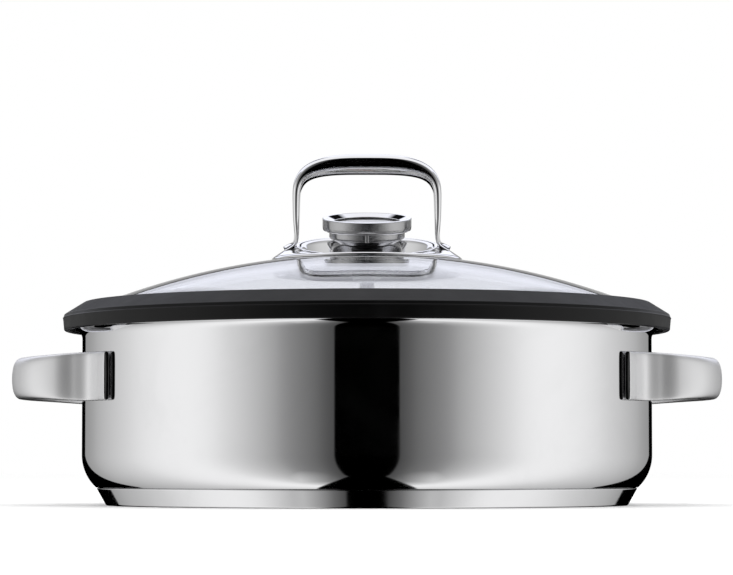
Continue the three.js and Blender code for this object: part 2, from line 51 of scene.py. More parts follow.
POT_RADIUS = 141.3
POT_HEIGHT = 88
POT_WALL = 1
FLOOR_WALL = 0.8
CORNER_RADIUS = 22
CORNER_HEIGHT = 25
RIM_RADIUS = 5
RIM_TURN = 95
CAP_HEIGHT = 8.6
CAP_WALL = 0.6
CAP_SLANT = 4.8
CAP_STEP = 1

GRIP_REACH = 35
GRIP_HEIGHT = 20
GRIP_THICKNESS = 9
FLANGE_HEIGHT = 23.5
FLANGE_THICKNESS = 3
FLANGE_END = 72
ARM_SPREAD = 60
GRIP_LEVEL = 62.3
# Powers of the ovals that the grip and its flanges have as sections
GRIP_POWER = 2.3
FLANGE_POWER = 6
# The grip's thickness grows later than its height, by this power
GRIP_GROWTH = 1.5
# The loop's course from its arm to its tip, as shares of its reach and of the arms' spread
GRIP_COURSE = [(0.07, 0.965), (0.25, 0.915), (0.48, 0.86), (0.74, 0.71), (0.92, 0.46), (0.985, 0.2)]

TRAY_LEVEL = 40
TRAY_SHEET = 0.8
TRAY_CLEARANCE = 4
TRAY_LIP = 4
TRAY_DEPTH = 14
TRAY_CORNER = 6
HOLE_RADIUS = 4.5
HOLE_PITCH = 23
HOLE_RINGS = 4
HOLE_STEP = 6
PUNCH_LENGTH = 6
LIP_ROOM = 6
HOLE_TWIST = 0.2
FOOT_WIDTH = 14
FOOT_SHEET = 1.2
FOOT_TAB = 13
FOOT_SOLE = 9.1
FOOT_BEND = 3
FOOT_CLEAR = 3
BAIL_WIRE = 1.6
BAIL_REACH = 36
BAIL_HALF = 30
BAIL_CORNER = 12
BAIL_NEAR_CORNER = 3
CLIP_WIDTH = 24
CLIP_SHEET = 1
CLIP_TAB = 5
CLIP_BEND = 0.4
CLIP_CLEAR = 1
PLAY = 0.35

DOME_RADIUS = 360
GLASS_SEAT = 6.23
GLASS = 4
GLASS_HOLE = 40.5
GLASS_ROUND = 0.7
SEAL_OVERHANG = 4.7
SEAL_SKIRT = 2
SEAL_BAND = 6.2
SEAL_SHOULDER = 1.8
SEAL_PLUG = 7
SEAL_LIP = 8
SEAL_WEB = 6.5
SEAL_PLAY = 1
SEAL_TAPER = 0.7
RIDGE = 0.18
RIDGE_RISE = 0.5
COVER_RUN = 11.2
COVER_RISE = 6.5
COVER_EDGE = 1.1

LEAN = math.radians(11.5)
PIVOT_DROP = 2.2
COLLAR_RADIUS = 47.7
COLLAR_SHEET = 0.7
RECESS_RADIUS = 34
RECESS_RISE = 7.4
RECESS_DEPTH = 10.7
GASKET = 0.4
GASKET_INNER = 2.2
GASKET_OUTER = 1.1
NOSE_RADIUS = 1.6
NOSE_DROP = 1.5
NOSE_TURN = 57
FLANK_SWELL = 0.5
ROLL_RUN = 4
ROLL_FALL = 1.1
ROLL_RADIUS = 2.4

BRIDGE_HALF = 37
BRIDGE_RISE = 50.7
BRIDGE_BAR = 10.2
BRIDGE_LEG = 3.4
BRIDGE_WIDTH = 16
BRIDGE_CORNER = 25
BRIDGE_FOOT = 6.2
# Powers of the ovals that the legs and the bar have as sections, and of the shoulders' curve
LEG_POWER = 3.5
BAR_POWER = 2.5
SHOULDER_POWER = 3.3
SHOULDER_SWELL = 1.1
SHOULDER_GROWTH = 1.4
# The bridge's foot from its tip up into its leg: share of its length, rise, and thickness and twist as
# shares of the leg's thickness and the recess's lean
FOOT_COURSE = [(1, 0, 0.32, 1), (0.55, 0, 0.36, 1), (0.14, 0.4, 0.52, 0.7), (0, 2.4, 0.66, 0.2)]
FOOT_LIFT = 0.35
# The sloping seat that the bridge's feet are set to, from the recess's rim to the collar's edge
SEAT_INNER = 0.5
SEAT_OUTER = 0.6
SEAT_FALL = 0.4
SEAT_SWELL = 0.9

BEZEL_RADIUS = 22.2
BEZEL_HEIGHT = 6.4
BEZEL_LEDGE = 3.4
BEZEL_LIP = 1.3
BEZEL_BAND = 2.2
BEZEL_TAPER = 0.3
CASE_RADIUS = 18.9
CASE_WALL = 1.2
CASE_SEAT = 4.9
CASE_CHAMFER = 2.4
CASE_DROP = 6
THERMO_TOP = 21
FLUTE_RADIUS = 1.3
FLUTE_LENGTH = 5.6
FLUTE_OFFSET = 0.45
DIAL_SHEET = 1
DIAL_BORE = 1.2
DIAL_SINK = 0.12
TICK_OUTER = 16
NUMBER_RADIUS = 10.6
NUMBER_SIZE = 2.9
UNIT_RADIUS = 8.2
UNIT_SIZE = 3
INK = 0.1
NEEDLE_SHEET = 0.5
# One side of the needle from its tail to its tip, as (along, across)
NEEDLE_SIDE = [(-5.5, 0.9), (-4.2, 0.62), (0, 1.25), (13.2, 0.32), (14, 0.0)]
HUB_RADIUS = 1.9
HUB_DROP = 0.4
HUB_RISE = 0.9
HUB_CROWN = 0.05
NEEDLE_LIFT = 0.7
NEEDLE_ROOM = 1.6
LENS = 1.4
LENS_CHAMFER = 0.3
LENS_ROUND = 0.5
LENS_CROWN = 0.2
GLAND_RADIUS = 12.4
GLAND_FLANGE = 0.6
GLAND_NECK = 7.7
GLAND_TAPER = 1.9
STEM_RADIUS = 3.7
STEM_REACH = 34
STEM_WALL = 0.8
STEM_TIP = 1.6
NUT_THICKNESS = 3
NUT_REACH = 4.4
WASHER = 1
NEEDLE_REST = 225
NEEDLE_SWEEP = 270

# Sizes that follow from those
floor_centre = POT_RADIUS - CORNER_RADIUS + CAP_STEP
inner_corner = CORNER_RADIUS - POT_WALL - CAP_STEP
floor_top = CORNER_HEIGHT - inner_corner
under_corner = inner_corner + FLOOR_WALL
seam = CAP_HEIGHT + GAP
rim_start = POT_HEIGHT - RIM_RADIUS - POT_WALL
flange_radius = POT_RADIUS + GAP + FLANGE_THICKNESS / 2
cap_top = (POT_RADIUS - CORNER_RADIUS - GAP
           + math.sqrt(CORNER_RADIUS ** 2 - (CORNER_HEIGHT - seam) ** 2))
tray_rim = POT_RADIUS - POT_WALL - TRAY_CLEARANCE
tray_wall = tray_rim - TRAY_LIP
tray_flat = tray_wall - TRAY_CORNER
seal_radius = POT_RADIUS + RIM_RADIUS + SEAL_OVERHANG
glass_edge = seal_radius - SEAL_WEB
pot_inside = POT_RADIUS - POT_WALL
recess_floor = RECESS_RISE - RECESS_DEPTH
bezel_foot = THERMO_TOP - BEZEL_HEIGHT
case_foot = bezel_foot - CASE_DROP
case_floor = case_foot + CASE_SEAT
dial_top = case_floor + GAP + DIAL_SHEET
dial_radius = CASE_RADIUS - CASE_WALL - GAP
needle_level = dial_top + NEEDLE_LIFT
case_top = needle_level + NEEDLE_ROOM
lens_top = case_top + GAP + LENS


def dome_fall(radius):
    return DOME_RADIUS - math.sqrt(DOME_RADIUS ** 2 - radius ** 2)


crown = POT_HEIGHT + GLASS_SEAT + dome_fall(glass_edge)
collar_edge = crown - dome_fall(COLLAR_RADIUS) + GASKET + 2 * GAP + COLLAR_SHEET
pivot_height = crown - PIVOT_DROP
PIVOT = Vector((0, 0, pivot_height * MM))


def glass_top(radius):
    return crown - dome_fall(radius)


# Ways of drawing and finishing a piece

def blend(start, end, share):
    return start + (end - start) * share


def ease(at, low, high):
    share = min(max((at - low) / (high - low), 0), 1)
    return share * share * (3 - 2 * share)


def bulge(height, share):
    """A swelling that is gone at both ends of a stretch."""
    return height * 4 * share * (1 - share)


def arc(centre_r, centre_z, radius, start, end, steps=10):
    """Points on a round stretch of a section, its angles in degrees."""
    angles = [math.radians(blend(start, end, i / steps)) for i in range(steps + 1)]
    return [(centre_r + radius * math.cos(a), centre_z + radius * math.sin(a)) for a in angles]


def softened(corners, closed=False, steps=5):
    """A line through (r, z, radius) corners, each rounded by its own radius.

    A point just before and after each corner keeps the faces between the corners flat.
    """
    line = []
    for i, (r, z, radius) in enumerate(corners):
        spot = Vector((r, z))
        if radius == 0 or (not closed and i in (0, len(corners) - 1)):
            line.append((r, z))
            continue
        back = (Vector(corners[i - 1][:2]) - spot).normalized()
        ahead = (Vector(corners[(i + 1) % len(corners)][:2]) - spot).normalized()
        half = back.angle(ahead) / 2
        centre = spot + (back + ahead).normalized() * radius / math.sin(half)
        reach = radius / math.tan(half)
        hold = HOLD * radius
        first = spot + back * reach - centre
        last = spot + ahead * reach - centre
        turn = math.atan2(first.x * last.y - first.y * last.x, first.dot(last))
        line.append(tuple(spot + back * (reach + hold)))
        for k in range(steps + 1):
            line.append(tuple(centre + Matrix.Rotation(turn * k / steps, 2) @ first))
        line.append(tuple(spot + ahead * (reach + hold)))
    return line + line[:1] if closed else line


def put_down():
    """Leaves edit mode with nothing selected."""
    if bpy.context.mode == "EDIT_MESH":
        bpy.ops.object.mode_set(mode="OBJECT")
    bpy.ops.object.select_all(action="DESELECT")


def take(piece):
    """Leaves edit mode with one piece selected."""
    put_down()
    piece.select_set(True)
    bpy.context.view_layer.objects.active = piece


def edit(piece):
    take(piece)
    bpy.ops.object.mode_set(mode="EDIT")
    bpy.ops.mesh.select_all(action="SELECT")


def lay_point(name):
    """Lays one loose point at the origin, in edit mode, ready to be drawn out."""
    put_down()
    bpy.ops.mesh.primitive_plane_add(size=MM)
    piece = bpy.context.object
    piece.name = name
    edit(piece)
    bpy.ops.mesh.merge(type="CENTER")
    return piece


def lay_nothing(name):
    """Opens a new mesh in edit mode with nothing in it."""
    piece = lay_point(name)
    bpy.ops.mesh.delete(type="VERT")
    return piece


def draw(points):
    """Draws edges from the loose point through points in millimetres."""
    here = Vector((0, 0, 0))
    for i, point in enumerate(points):
        step = (Vector(point) - here) * MM
        if i == 0:
            bpy.ops.transform.translate(value=step)
        else:
            bpy.ops.mesh.extrude_region_move(TRANSFORM_OT_translate={"value": step})
        here = Vector(point)
    bpy.ops.mesh.select_all(action="SELECT")


def heal():
    """Closes seams and poles and turns every face outwards."""
    bpy.ops.mesh.select_all(action="SELECT")
    bpy.ops.mesh.remove_doubles(threshold=MERGE)
    bpy.ops.mesh.normals_make_consistent(inside=False)


def turn_about(axis, angle, centre=(0, 0, 0)):
    """Turns what is selected in edit mode; with no window the operator turns the other way."""
    bpy.ops.transform.rotate(value=-angle, orient_axis=axis, center_override=centre)


def turned(name, section, steps=180):
    """A piece turned about the pot's axis from a drawn half section."""
    piece = lay_point(name)
    draw([(r, 0, z) for r, z in section])
    bpy.ops.mesh.spin(steps=steps, angle=2 * math.pi, center=(0, 0, 0), axis=(0, 0, 1))
    heal()
    return piece


def leaning(name, section, steps=120):
    """A piece of the thermometer, turned upright on its own axis and then leaned to the front."""
    piece = turned(name, [(r, pivot_height + along) for r, along in section], steps)
    turn_about("X", LEAN, PIVOT)
    return piece


def modified(piece, kind, **settings):
    take(piece)
    modifier = piece.modifiers.new(kind, kind)
    for name, value in settings.items():
        setattr(modifier, name, value)
    bpy.ops.object.modifier_apply(modifier=modifier.name)


def cut_away(piece, cutter):
    """Takes the cutter's shape out of a piece."""
    modified(piece, "BOOLEAN", operation="DIFFERENCE", object=cutter, solver="EXACT")
    bpy.data.objects.remove(cutter)


def bevelled(piece, width, segments, angle):
    """Rounds the edges that turn by more than an angle in degrees."""
    modified(piece, "BEVEL", width=width * MM, segments=segments, limit_method="ANGLE",
             angle_limit=math.radians(angle))


def copied(piece, name):
    """A copy with its own mesh, left in edit mode with all of it selected."""
    take(piece)
    bpy.ops.object.duplicate(linked=False)
    twin = bpy.context.object
    twin.name = name
    edit(twin)
    return twin


def finished(piece, body, slot, material, *nodes, crease=35):
    """Smooths a piece, gives it its finish and hands it to its body."""
    take(piece)
    bpy.ops.object.shade_smooth_by_angle(angle=math.radians(crease))
    piece.data.name = piece.name
    piece.data.materials.clear()
    piece.data.materials.append(material)
    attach(piece, body)
    if nodes:
        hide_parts(*nodes)
    return piece


def flat_curve(points):
    """A helper line on the ground plane, through points in millimetres."""
    data = bpy.data.curves.new("bending_line", "CURVE")
    data.dimensions = "2D"
    spline = data.splines.new("POLY")
    spline.points.add(len(points) - 1)
    for spot, (x, y) in zip(spline.points, points):
        spot.co = (x * MM, y * MM, 0, 1)
    line = bpy.data.objects.new("bending_line", data)
    bpy.context.scene.collection.objects.link(line)
    return line


def flowing(points, steps=8):
    """A centripetal smooth line through given points on a plane."""
    spots = [Vector(p) for p in points]
    spots = [2 * spots[0] - spots[1]] + spots + [2 * spots[-1] - spots[-2]]
    line = []
    for a, b, c, d in zip(spots, spots[1:], spots[2:], spots[3:]):
        knots = [0.0]
        for near, far in ((a, b), (b, c), (c, d)):
            knots.append(knots[-1] + math.sqrt((far - near).length))
        for i in range(steps):
            at = blend(knots[1], knots[2], i / steps)
            row = [a, b, c, d]
            for level in (1, 2, 3):
                row = [row[k] + (row[k + 1] - row[k]) * between(at, knots, k, level)
                       for k in range(len(row) - 1)]
            line.append(row[0])
    return line + [spots[-2]]


def between(at, knots, k, level):
    """Share of the way across a span, for the pyramid of blends that makes a smooth line."""
    first = k + (1 if level == 3 else 0)
    last = first + (level if level < 3 else 1)
    return (at - knots[first]) / (knots[last] - knots[first])


# Smoothing sets the middle of an edge by the weights FAR, NEAR, NEAR, FAR of the four points along it
NEAR = 23
FAR = 1


def cage_corner(power):
    """Where an eight-point ring has its corner points, so that it smooths to an oval of that power."""
    reach = 2 ** (-1 / power)
    return (2 * NEAR * reach - NEAR - FAR) / (NEAR - FAR - 2 * FAR * reach)


def swell(corner):
    """How far a ring must stand out, because smoothing draws it in."""
    return (NEAR + FAR) / (NEAR + FAR * corner)


def reshape_ring(run, old, new):
    """Brings the selected eight-point ring from one half thickness, half height and corner to the next."""
    mesh = bmesh.from_edit_mesh(bpy.context.object.data)
    ring = [v for v in mesh.verts if v.select]
    sides = [v for v in ring if abs(v.co.y) / old[0] > abs(v.co.z) / old[1]]
    ends = [v for v in ring if v not in sides]
    side_scale = (1, new[0] / old[0], new[1] * new[2] / (old[1] * old[2]))
    end_scale = (1, new[0] * new[2] / (old[0] * old[2]), new[1] / old[1])
    for points, scale in ((sides, side_scale), (ends, end_scale)):
        bpy.ops.mesh.select_all(action="DESELECT")
        for vertex in points:
            vertex.select = True
        mesh.select_flush_mode()
        bpy.ops.transform.resize(value=scale, center_override=(run * MM, 0, 0))
    bpy.ops.mesh.select_all(action="DESELECT")
    for vertex in ring:
        vertex.select = True
    mesh.select_flush(True)


def soft_ends(sizes, edge, thin, low):
    """Swaps a bar's end rings for two each, the outer one smaller, so that its ends are rounded."""
    run, thick, high, power = sizes[0]
    end = sizes[-1][0]
    head = [(run, thick * thin, high * low, power), (run + edge, thick, high, power)]
    tail = [(end - edge, thick, high, power), (end, thick * thin, high * low, power)]
    return head + sizes[1:-1] + tail


def bent_bar(name, line, sizes, twists=None):
    """A straight bar drawn out ring by ring, smoothed, then bent along a flat line.

    sizes has one (run, half thickness, half height, power) for each ring, twists its turn about the bar.
    """
    twists = twists or [0.0] * len(sizes)
    rings = []
    for run, thick, high, power in sizes:
        corner = cage_corner(power)
        rings.append((run, (thick * swell(corner), high * swell(corner), corner)))
    piece = lay_point(name)
    run, (thick, high, corner) = rings[0]
    quarter = [(thick, high * corner), (thick * corner, high)]
    half = quarter + [(-y, z) for y, z in reversed(quarter)]
    draw([(run, y, z) for y, z in half + [(-y, -z) for y, z in half]])
    bpy.ops.mesh.edge_face_add()
    if twists[0]:
        turn_about("X", twists[0])
    for (run, old), (next_run, new), twist, next_twist in zip(rings, rings[1:], twists, twists[1:]):
        step = ((next_run - run) * MM, 0, 0)
        bpy.ops.mesh.extrude_region_move(TRANSFORM_OT_translate={"value": step})
        if twist:
            turn_about("X", -twist)
        reshape_ring(next_run, old, new)
        if next_twist:
            turn_about("X", next_twist)
    heal()
    modified(piece, "SUBSURF", levels=2, render_levels=2)
    path = flat_curve(line)
    modified(piece, "CURVE", object=path, deform_axis="POS_X")
    bpy.data.curves.remove(path.data)
    edit(piece)
    heal()
    return piece


def runs_along(line):
    """Distance of each point along a line."""
    runs = [0.0]
    for here, there in zip(line, line[1:]):
        runs.append(runs[-1] + (Vector(there) - Vector(here)).length)
    return runs


def strip(name, line, sheet, width):
    """A bent strip of sheet metal: its edge is drawn, pulled across and given its thickness."""
    piece = lay_point(name)
    draw([(x, -width / 2, z) for x, z in line])
    bpy.ops.mesh.extrude_region_move(TRANSFORM_OT_translate={"value": (0, width * MM, 0)})
    heal()
    modified(piece, "SOLIDIFY", thickness=sheet * MM, offset=0, use_even_offset=True)
    bevelled(piece, 0.25 * sheet, 2, 50)
    return piece


# Node helpers

class Value:
    """A number or vector in a node tree; reckoning with it adds nodes to that tree."""

    def __init__(self, tree, socket):
        self.tree = tree
        self.socket = socket

    def math(self, operation, other=0.0, clamp=False):
        return value(self.tree, "ShaderNodeMath", {0: self, 1: other}, operation=operation, use_clamp=clamp)

    def __add__(self, other):
        return self.math("ADD", other)

    def __sub__(self, other):
        return self.math("SUBTRACT", other)

    def __mul__(self, other):
        return self.math("MULTIPLY", other)

    def __truediv__(self, other):
        return self.math("DIVIDE", other)

    def most(self, *others):
        """The largest of itself and others."""
        largest = self
        for other in others:
            largest = largest.math("MAXIMUM", other)
        return largest

    def ranged(self, low, high, new_low, new_high, ease_in_out=False):
        return value(self.tree, "ShaderNodeMapRange", {
            "Value": self, "From Min": low, "From Max": high, "To Min": new_low, "To Max": new_high,
        }, "Result", interpolation_type="SMOOTHSTEP" if ease_in_out else "LINEAR")

    def rises(self, low, high):
        return self.ranged(low, high, 0.0, 1.0)

    def falls(self, low, high):
        return self.ranged(low, high, 1.0, 0.0)

    def parts(self):
        """X, Y and Z of a vector."""
        outputs = put(self.tree, "ShaderNodeSeparateXYZ", {0: self}).outputs
        return [Value(self.tree, output) for output in outputs]

    def off_axis(self):
        """Distance of a vector from the third axis."""
        x, y, _ = self.parts()
        flat = value(self.tree, "ShaderNodeCombineXYZ", {"X": x, "Y": y})
        return value(self.tree, "ShaderNodeVectorMath", {0: flat}, "Value", operation="LENGTH")

    def noise(self, scale, detail, roughness=0.5, distortion=0.0):
        """Cloudy noise over a vector."""
        return value(self.tree, "ShaderNodeTexNoise", {
            "Vector": self, "Scale": scale, "Detail": detail, "Roughness": roughness,
            "Distortion": distortion})


def give(socket, item):
    """Feeds a socket with a value of the tree, or sets it to a plain number, vector or colour."""
    if isinstance(item, Value):
        item.tree.links.new(item.socket, socket)
    else:
        socket.default_value = item


def put(tree, kind, inputs=None, **settings):
    """Adds a node with its settings and inputs."""
    node = tree.nodes.new(kind)
    for name, setting in settings.items():
        setattr(node, name, setting)
    for name, item in (inputs or {}).items():
        give(node.inputs[name], item)
    return node


def value(tree, kind, inputs=None, output=0, **settings):
    """Adds a node and returns one of its outputs."""
    return Value(tree, put(tree, kind, inputs, **settings).outputs[output])


def effect(name, **numbers):
    """Opens a shader node group; returns its incoming vector and named numbers."""
    tree = bpy.data.node_groups.new(name, "ShaderNodeTree")
    tree.interface.new_socket("Vector", in_out="INPUT", socket_type="NodeSocketVector")
    for label, number in numbers.items():
        socket = tree.interface.new_socket(label, in_out="INPUT", socket_type="NodeSocketFloat")
        socket.default_value = number
    given = put(tree, "NodeGroupInput").outputs
    return [Value(tree, given[label]) for label in ("Vector", *numbers)]


def closed_effect(**results):
    """Ends a shader node group with its named results."""
    tree = next(iter(results.values())).tree
    for label in results:
        tree.interface.new_socket(label, in_out="OUTPUT", socket_type="NodeSocketFloat")
    put(tree, "NodeGroupOutput", results)
    return tree


def make_wiped_haze():
    """Faint cloudy smears that a cloth leaves on polished metal and glass."""
    spot, size = effect("wiped_haze", Size=30.0)
    cloud = spot.noise(size, detail=4.0, roughness=0.6, distortion=0.6)
    return closed_effect(Haze=cloud.ranged(0.42, 0.72, 0.0, 1.0, ease_in_out=True))


def make_hairlines():
    """Fine streaks along the second axis of the given vector."""
    spot, fineness = effect("hairlines", Fineness=900.0)
    stretch = (1, 0.02, 1)
    drawn_out = value(spot.tree, "ShaderNodeVectorMath", {0: spot, 1: stretch}, operation="MULTIPLY")
    return closed_effect(Lines=drawn_out.noise(fineness, detail=3.0, roughness=0.65))


def make_turning_marks():
    """Rings left by a lathe round the third axis of the given vector."""
    spot, fineness = effect("turning_marks", Fineness=1500.0)
    across = (spot.off_axis() + spot.parts()[2]) * fineness
    return closed_effect(Rings=value(spot.tree, "ShaderNodeTexNoise", {
        "W": across, "Scale": 1.0, "Detail": 3.0, "Roughness": 0.7}, noise_dimensions="1D"))


def make_blasted_grain():
    """Even pebbled grain of bead-blasted metal and moulded rubber, and a coarser mottle."""
    spot, fineness = effect("blasted_grain", Fineness=2600.0)
    return closed_effect(Height=spot.noise(fineness, detail=2.0, roughness=0.55),
                         Mottle=spot.noise(fineness * 0.03, detail=4.0, roughness=0.6))


def make_edge_rub():
    """A mask of outer edges, where handling rubs a surface."""
    spot, breakup = effect("edge_rub", Breakup=300.0)
    edges = value(spot.tree, "ShaderNodeNewGeometry", output="Pointiness").rises(0.52, 0.60)
    return closed_effect(Rub=edges * spot.noise(breakup, detail=3.0).rises(0.35, 0.65))


wiped_haze = make_wiped_haze()
hairlines = make_hairlines()
turning_marks = make_turning_marks()
blasted_grain = make_blasted_grain()
edge_rub = make_edge_rub()


class Finish:
    """A material in the making: its Principled shader and its coordinates on the object."""

    def __init__(self, name, colour, metallic, roughness, **sockets):
        self.material = bpy.data.materials.new(name)
        self.material.use_nodes = True
        self.tree = self.material.node_tree
        self.spot = value(self.tree, "ShaderNodeTexCoord", output="Object")
        self.feed(Base_Color=(*colour, 1), Metallic=metallic, Roughness=roughness, **sockets)

    def feed(self, **sockets):
        shader = self.tree.nodes["Principled BSDF"]
        for label, item in sockets.items():
            give(shader.inputs[label.replace("_", " ")], item)

    def effect(self, group, spot=None, **numbers):
        """Results of a shared effect on the object, or at a turned spot."""
        node = put(self.tree, "ShaderNodeGroup", node_tree=group)
        for label, item in {"Vector": spot or self.spot, **numbers}.items():
            give(node.inputs[label], item)
        return [Value(self.tree, output) for output in node.outputs]

    def tint(self, mask, low, high):
        """Runs the base colour between two tones by a mask."""
        low, high = (tone if isinstance(tone, Value) else (*tone, 1) for tone in (low, high))
        tone = value(self.tree, "ShaderNodeMix", {"Factor": mask, "A": low, "B": high}, "Result",
                     data_type="RGBA")
        self.feed(Base_Color=tone)
        return tone

    def done(self, rough, relief, depth, strength):
        """Sets the roughness and the relief, whose depth is in millimetres."""
        self.feed(Roughness=rough, Normal=value(self.tree, "ShaderNodeBump", {
            "Height": relief, "Strength": strength, "Distance": depth * MM}))
        return self.material


def grey(level):
    """A steel grey, with a trace of blue."""
    return (level, level, min(level * 1.01, 1.0))


def shade(colour, factor):
    return tuple(min(part * factor, 0.95) for part in colour)


def polished_metal(name, tone, shine, haze_size, line_depth, painted_underside_shade=0.0):
    """Mirror steel: a trace of wiping haze and fine polishing lines round the pot's axis.

    Where a sheet faces down it gets painted shade, a darker grey base colour, and is left satin.
    """
    steel = Finish(name, grey(tone), 1.0, shine)
    haze, = steel.effect(wiped_haze, Size=haze_size)
    rings, = steel.effect(turning_marks, Fineness=900.0)
    rough = haze.ranged(0, 1, shine, shine * 2.2)
    if painted_underside_shade:
        # Painted shade: faces that point down take a darker grey base colour.
        facing_up = value(steel.tree, "ShaderNodeTexCoord", output="Normal").parts()[2]
        back = facing_up.rises(-0.02, -0.06)
        steel.tint(back, grey(tone), grey(painted_underside_shade))
        rough = rough + back * 0.2
    else:
        steel.tint(haze, grey(tone), grey(tone * 0.97))
    return steel.done(rough, rings, line_depth, 0.2)


def satin_metal(name, colour, roughness, fineness, painted_end_shade=False):
    """Bead-blasted metal, rubbed brighter along its edges.

    The cut ends of a side handle's flanges are smooth, and painted shade makes them near black.
    """
    metal = Finish(name, colour, 1.0, roughness)
    height, mottle = metal.effect(blasted_grain, Fineness=fineness)
    rub, = metal.effect(edge_rub, Breakup=220.0)
    bright = (mottle * 0.5).math("ADD", rub, clamp=True)
    tone = metal.tint(bright, shade(colour, 0.93), shade(colour, 1.12))
    rough = mottle.ranged(0.3, 0.7, roughness - 0.03, roughness + 0.04) - rub * 0.12
    # Painted shade on the flange ends: past the end line the base colour turns near black.
    if painted_end_shade:
        sine = FLANGE_END / flange_radius
        cosine = math.sqrt(1 - sine ** 2)
        x, y, _ = metal.spot.parts()
        past_end = y.math("ABSOLUTE") * cosine - x.math("ABSOLUTE") * sine
        end = past_end.rises(-0.5 * MM, -0.3 * MM)
        rough = rough * end.ranged(0, 1, 1.0, 0.25)
        metal.tint(end, tone, shade(colour, 0.18))
    return metal.done(rough, height, 0.05, 0.35)


def lathe_metal(name, tone, roughness, painted_highlight_radius=0.0):
    """Turned steel of the thermometer, with rings round its leaning axis.

    Nearer to the axis than the given radius it is polished and gets a pale base colour, a painted
    highlight.
    """
    steel = Finish(name, grey(tone), 1.0, roughness)
    upright = value(steel.tree, "ShaderNodeMapping", {
        "Vector": steel.spot, "Location": PIVOT, "Rotation": (LEAN, 0, 0)}, vector_type="TEXTURE")
    rings, = steel.effect(turning_marks, upright, Fineness=4200.0)
    haze, = steel.effect(wiped_haze, Size=120.0)
    rough = haze.ranged(0, 1, roughness, roughness + 0.07)
    if painted_highlight_radius:
        turned_face = upright.off_axis().rises((painted_highlight_radius - 0.1) * MM, (painted_highlight_radius + 0.1) * MM)
        rings = rings * turned_face
        rough = rough * turned_face.ranged(0, 1, 0.2, 1.0)
        # Painted highlight: the polished face nearer the axis takes a pale grey base colour.
        light = (rings * 0.3).math("ADD", turned_face.falls(0, 1), clamp=True)
        steel.tint(light, grey(tone * 0.9), grey(0.86))
    else:
        steel.tint(rings, grey(tone * 0.9), grey(tone * 1.08))
    return steel.done(rough, rings, 0.02, 0.5)


def brushed_metal(name, tone, roughness):
    """Brushed sheet of the tray and its fittings, worn smooth on its edges."""
    steel = Finish(name, grey(tone), 1.0, roughness)
    lines, = steel.effect(hairlines, Fineness=1100.0)
    rub, = steel.effect(edge_rub, Breakup=160.0)
    steel.tint(lines, grey(tone * 0.9), grey(tone * 1.07))
    rough = lines.ranged(0.3, 0.7, roughness - 0.04, roughness + 0.06) - rub * 0.1
    return steel.done(rough, lines, 0.01, 0.4)


def moulded_rubber(name, dark, pale, roughness, fineness, gloss):
    """Moulded silicone: a fine dry grain, paler where dust and handling catch its edges."""
    rubber = Finish(name, dark, 0.0, roughness, Specular_IOR_Level=gloss)
    height, mottle = rubber.effect(blasted_grain, Fineness=fineness)
    rub, = rubber.effect(edge_rub, Breakup=260.0)
    dust = mottle.ranged(0.5, 0.75, 0.0, 0.35)
    rubber.tint(dust.math("ADD", rub * 0.6, clamp=True), dark, pale)
    rough = mottle.ranged(0.3, 0.7, roughness - 0.05, roughness + 0.05)
    return rubber.done(rough, height, 0.04, 0.3)


def clear_glass(name, tint, haze_size):
    """Tempered glass with a trace of wiping haze on its surface."""
    glass = Finish(name, tint, 0.0, 0.0, IOR=1.5, Transmission_Weight=1.0)
    haze, = glass.effect(wiped_haze, Size=haze_size)
    glass.feed(Roughness=haze.ranged(0, 1, 0.0, 0.03))
    return glass.material


def enamel(name, colour, spot_colour, roughness):
    """Printed or painted face with a slight mottle in its gloss."""
    paint = Finish(name, colour, 0.0, roughness)
    height, mottle = paint.effect(blasted_grain, Fineness=5200.0)
    paint.tint(mottle.rises(0.35, 0.75), colour, spot_colour)
    rough = mottle.ranged(0.3, 0.7, roughness - 0.04, roughness + 0.05)
    return paint.done(rough, height, 0.01, 0.2)


pot_steel = polished_metal("pot_mirror_steel", 0.86, 0.03, 22.0, 0.004)
base_steel = polished_metal("base_mirror_steel", 0.84, 0.05, 30.0, 0.008)
lid_steel = polished_metal("lid_mirror_steel", 0.88, 0.035, 60.0, 0.003)
collar_steel = polished_metal("collar_mirror_steel", 0.88, 0.035, 60.0, 0.003, painted_underside_shade=0.4)
handle_steel = satin_metal("handle_satin_steel", grey(0.86), 0.40, 2600.0, painted_end_shade=True)
gauge_steel = lathe_metal("gauge_turned_steel", 0.42, 0.17)
bezel_steel = lathe_metal("bezel_turned_steel", 0.42, 0.17, BEZEL_RADIUS - 0.35)
tray_steel = brushed_metal("tray_brushed_steel", 0.72, 0.26)
base_aluminium = satin_metal("base_core_aluminium", grey(0.66), 0.5, 1800.0)
rim_silicone = moulded_rubber("rim_matte_silicone", (0.0006, 0.0006, 0.0007), (0.005, 0.005, 0.0055),
                              0.4, 2200.0, 0.22)
gland_rubber = moulded_rubber("gland_black_rubber", (0.004, 0.004, 0.0045), (0.02, 0.02, 0.02),
                              0.42, 2600.0, 0.25)
dome_glass = clear_glass("dome_tempered_glass", (0.98, 0.99, 1.0), 16.0)
window_glass = clear_glass("gauge_window_glass", (0.98, 0.985, 0.985), 90.0)
dial_enamel = enamel("dial_white_enamel", (0.84, 0.84, 0.81), (0.80, 0.80, 0.77), 0.42)
dial_ink = enamel("dial_black_ink", (0.018, 0.018, 0.02), (0.03, 0.03, 0.032), 0.5)
needle_paint = enamel("needle_red_paint", (0.46, 0.022, 0.018), (0.40, 0.02, 0.016), 0.35)
coil_brass = satin_metal("coil_bimetal", (0.62, 0.44, 0.19), 0.36, 3000.0)


# Pot, base and side handles

def seam_turn(radius):
    return -math.degrees(math.asin((CORNER_HEIGHT - seam) / radius))


